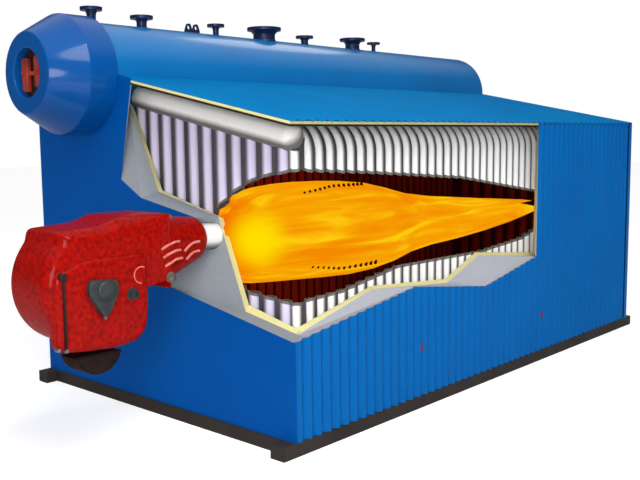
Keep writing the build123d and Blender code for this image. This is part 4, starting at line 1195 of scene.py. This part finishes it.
# %% Flange, louvres and bolts
plate = rounded([(-0.249, -0.296), (0.249, -0.296), (0.249, 0.221), (-0.249, 0.221)], 0.03, 6)
head_skin.closed([[Vector((burner_x + p.x * keep, y, burner_z + p.y * keep)) for p in plate]
                  for y, keep in ((flange_back, 0.985), (flange_back + 0.004, 1.0), (cone_back - 0.004, 1.0),
                                  (cone_back, 0.985))])
louvres = [  # start and end of each, as place along the head and degrees round it
    (-3.276, 2.7, -3.105, 14.1), (-3.262, -10.1, -3.096, -1.1), (-3.247, -23.0, -3.078, -16.5),
    (-3.052, -6.1, -2.889, 2.3), (-3.029, -22.8, -2.885, -18.6)]
# the pale beads on the louvres are painted highlights where the slot edges catch the light
for y0, a0, y1, a1 in louvres:
    line = [on_head(y0 + (y1 - y0) * t, math.radians(a0 + (a1 - a0) * t + 5 * math.sin(math.pi * t)), 0.012)
            for t in [s / 6 for s in range(7)]]
    bead_along(head_skin, line, 0.0095, 2)
for dx, dz in ((-0.225, -0.225), (0.225, -0.225), (0.222, 0.195), (-0.222, 0.195)):
    bolt = Vector((burner_x + dx, cone_back - 0.006, burner_z + dz))
    head_skin.lathe([(0.024, -0.002), (0.024, 0.008)], bolt, Y, Z, 20, 1)
    head_skin.lathe([(0.019, 0.007), (0.019, 0.03), (0.014, 0.034)], bolt, Y, Z, 6, 1)
hinge_nut = at_burner(side_x, 0.006, -0.217)
head_skin.lathe([(0.036, -0.02), (0.036, 0.006)], hinge_nut, X, Z, 24, 1)
head_skin.lathe([(0.029, 0.005), (0.029, 0.028), (0.021, 0.033)], hinge_nut, X, Z, 6, 1)
make_piece("burner_head", head_skin, ["burner_red", "bare_steel", "pink_painted_highlight"], ["burner_cone"], 38)

# %% [markdown]
# A bare steel flame tube leaves the nose through a dark seal ring and enters the wall.
# Only its outside and its two rims can show, so the turned profile leaves out the inner skin.

# %% Flame tube
tube_in, tube_out, tube_l = 0.097, 0.104, 0.2
tube_skin = Skin()
tube_at = Vector((burner_x, cone_end, burner_z))
tube_skin.rings(turned([(tube_in, 0.0), (tube_out, 0.0), (tube_out + 0.0005, tube_l), (tube_in, tube_l)],
                       tube_at, Y, Z), 0)
tube_skin.rings(turned([(0.1, -0.004), (0.122, -0.004), (0.124, 0.004), (0.122, 0.01), (tube_out, 0.012)],
                       tube_at, Y, Z), 1)
make_piece("flame_tube", tube_skin, ["burner_tube_painted_reflection", "dark_plastic"], ["burner_flame_tube"], 35)

# %% [markdown]
# The flame fills the furnace: it bursts from the tube, swells, then narrows to a ragged tip near the rear wall.
# Fire has no surface, and a volume would be slow and soft, but a closed skin gives the drawn look of a cut-away.
# Small waves round each ring make it lick.

# %% Flame shape
flame_start, flame_l, flame_drift, flame_sides = -2.54, 4.88, 0.12, 48
flame_line = [  # place, radius, rise of the middle over the burner's axis
    (flame_start, 0.09, 0.0), (-2.518, 0.094, 0.0), (-2.5, 0.2, -0.05), (-2.44, 0.28, -0.055),
    (-2.405, 0.3, -0.054), (-2.385, 0.318, -0.053), (-2.36, 0.335, -0.052), (-2.24, 0.366, -0.044),
    (-2.12, 0.382, -0.039), (-1.92, 0.397, -0.039), (-1.68, 0.407, -0.043), (-1.43, 0.412, -0.053),
    (-1.17, 0.41, -0.064), (-0.89, 0.392, -0.071), (-0.6, 0.35, -0.08), (-0.3, 0.29, -0.084),
    (0.11, 0.242, -0.089), (0.55, 0.212, -0.1), (1.03, 0.174, -0.105), (1.3, 0.152, -0.1), (1.54, 0.132, -0.097),
    (1.87, 0.096, -0.086), (2.09, 0.066, -0.082), (2.26, 0.038, -0.08), (2.34, 0.012, -0.078)]
wall_inside = front_plane + front_tube_r + 0.015


def flame_share(y):
    return (y - flame_start) / flame_l


def flame_ring(y, radius, rise):
    t = flame_share(y)
    axis = Vector((burner_x + flame_drift * t, y, burner_z + rise))
    ring = []
    for a in angles(flame_sides):
        lick = 1 + 0.012 * math.sin(3 * a + 2.3 * y) + 0.02 * t * math.sin(7 * a - 3.7 * y)
        p = axis + (X * math.cos(a) + Z * math.sin(a)) * radius * lick
        if y < wall_inside:
            # inside the front wall the fire keeps to the torn window and clear of the tubes
            p.x = max(p.x, window_left + 0.055)
            p.z = min(max(p.z, low_edge(p) + 0.03), high_edge(p) - 0.08)
        ring.append(p)
    return ring


flame_skin = Skin()
flame_skin.closed([flame_ring(*row) for row in flame_line])
print("flame rings:", len(flame_line))

# %% [markdown]
# The fire shines in its own colour: a yellow core near the burner, orange around it, redder at the root and long
# streaks that follow the flow. It is one material, so its noise needs no group.

# %% Flame finish
root_end, core_place = -2.28, (burner_x + 0.3, -2.42, burner_z - 0.03)
fall = {"To Min": 1.0, "To Max": 0.0}
tree, shader = new_paint("flame_fire", {"Base Color": (0, 0, 0, 1), "Roughness": 1.0, "Specular IOR Level": 0.0,
                                        "Emission Strength": 1.0})
where = add_node(tree, "ShaderNodeTexCoord")
flow = add_node(tree, "ShaderNodeMapping", {"Scale": (1.0, 0.13, 1.6), "Rotation": (0.06, 0.0, 0.0)})
tongues = add_node(tree, "ShaderNodeTexNoise", {"Scale": 6.5, "Detail": 2.5, "Distortion": 0.9})
streaks = colour_ramp(tree, [(0.3, (243, 138, 0)), (0.53, (248, 164, 4)), (0.72, (255, 206, 16))])
core_far = add_node(tree, "ShaderNodeVectorMath", {1: core_place}, operation="DISTANCE")
core = add_node(tree, "ShaderNodeMapRange", {"From Min": 0.04, "From Max": 0.34, **fall},
                interpolation_type="SMOOTHSTEP")
blend = add_node(tree, "ShaderNodeMix", data_type="RGBA")
blend.inputs["B"].default_value = linear(255, 222, 0)
split = add_node(tree, "ShaderNodeSeparateXYZ")
root = add_node(tree, "ShaderNodeMapRange", {"From Min": flame_start, "From Max": root_end, **fall},
                interpolation_type="SMOOTHSTEP")
redden = add_node(tree, "ShaderNodeMix", data_type="RGBA")
redden.inputs["B"].default_value = linear(244, 100, 0)
join(tree, (where, "Object", flow, "Vector"), (flow, "Vector", tongues, "Vector"), (tongues, "Fac", streaks, "Fac"),
     (where, "Object", split, 0), (split, "Y", root, "Value"), (root, "Result", redden, "Factor"),
     (streaks, "Color", redden, "A"), (where, "Object", core_far, 0), (core_far, "Value", core, "Value"),
     (core, "Result", blend, "Factor"), (redden, "Result", blend, "A"),
     (blend, "Result", shader, "Emission Color"))
print("flame finish ready")

# %% [markdown]
# Dark gaps show where the flame tears away from the walls: two rows of small spots that grow along the flow, and
# a notch at the tip. They are low bumps on the skin, because a hole would show the flame's empty inside.

# %% Gaps in the flame
gap_count, gap_start, gap_l = 13, -1.83, 0.8
for z_start, z_mid, z_end in ((1.757, 1.785, 1.775), (1.163, 1.113, 1.122)):
    for t in [i / (gap_count - 1) for i in range(gap_count)]:
        y = gap_start + gap_l * t
        z = z_start + (z_mid - z_start) * min(1.0, 2.2 * t) + (z_end - z_mid) * max(0.0, 2 * t - 1)
        radius, rise = row_at(flame_line, y)
        bulge = math.sqrt(max(0.001, radius**2 - (z - burner_z - rise) ** 2))
        x = burner_x + flame_drift * flame_share(y) + bulge + 0.008
        wide, high = 0.008 + 0.008 * t, 0.01 + 0.02 * t
        spot = [[Vector((x + out, y + wide * keep * math.cos(a), z + high * keep * math.sin(a))) for a in angles(8)]
                for out, keep in ((-0.012, 1.0), (0.0, 1.0), (0.004, 0.6))]
        flame_skin.rings(spot, 1, None, 1)
notch = [Vector((burner_x + 0.22, y, z)) for y, z in ((1.662, 1.45), (2.022, 1.468), (2.049, 1.389))]
flame_skin.rings([notch, [p + X * 0.004 for p in notch]], 1, None, 1)
make_piece("flame", flame_skin, ["flame_fire", "gap_painted_shade_and_flame_light"], (), 80)

# %% [markdown]
# Two small plugs sit in the ribs of the right wall, each with a hexagon head and a washer.
# A turned profile with six sides is a hexagon, so the same call makes both.

# %% Wall plugs
plug_skin = Skin()
for y, z in ((-1.26, 0.495), (0.751, 0.445)):
    seat = Vector((half_w - rib_depth * 0.6, y, z))
    plug_skin.lathe([(0.026, -0.004), (0.026, 0.004), (0.022, 0.006)], seat, X, Z, 24)
    plug_skin.lathe([(0.016, 0.005), (0.016, 0.012), (0.012, 0.0145)], seat, X, Z, 6)
make_piece("wall_plugs", plug_skin, ["plug_red"], (), 30)
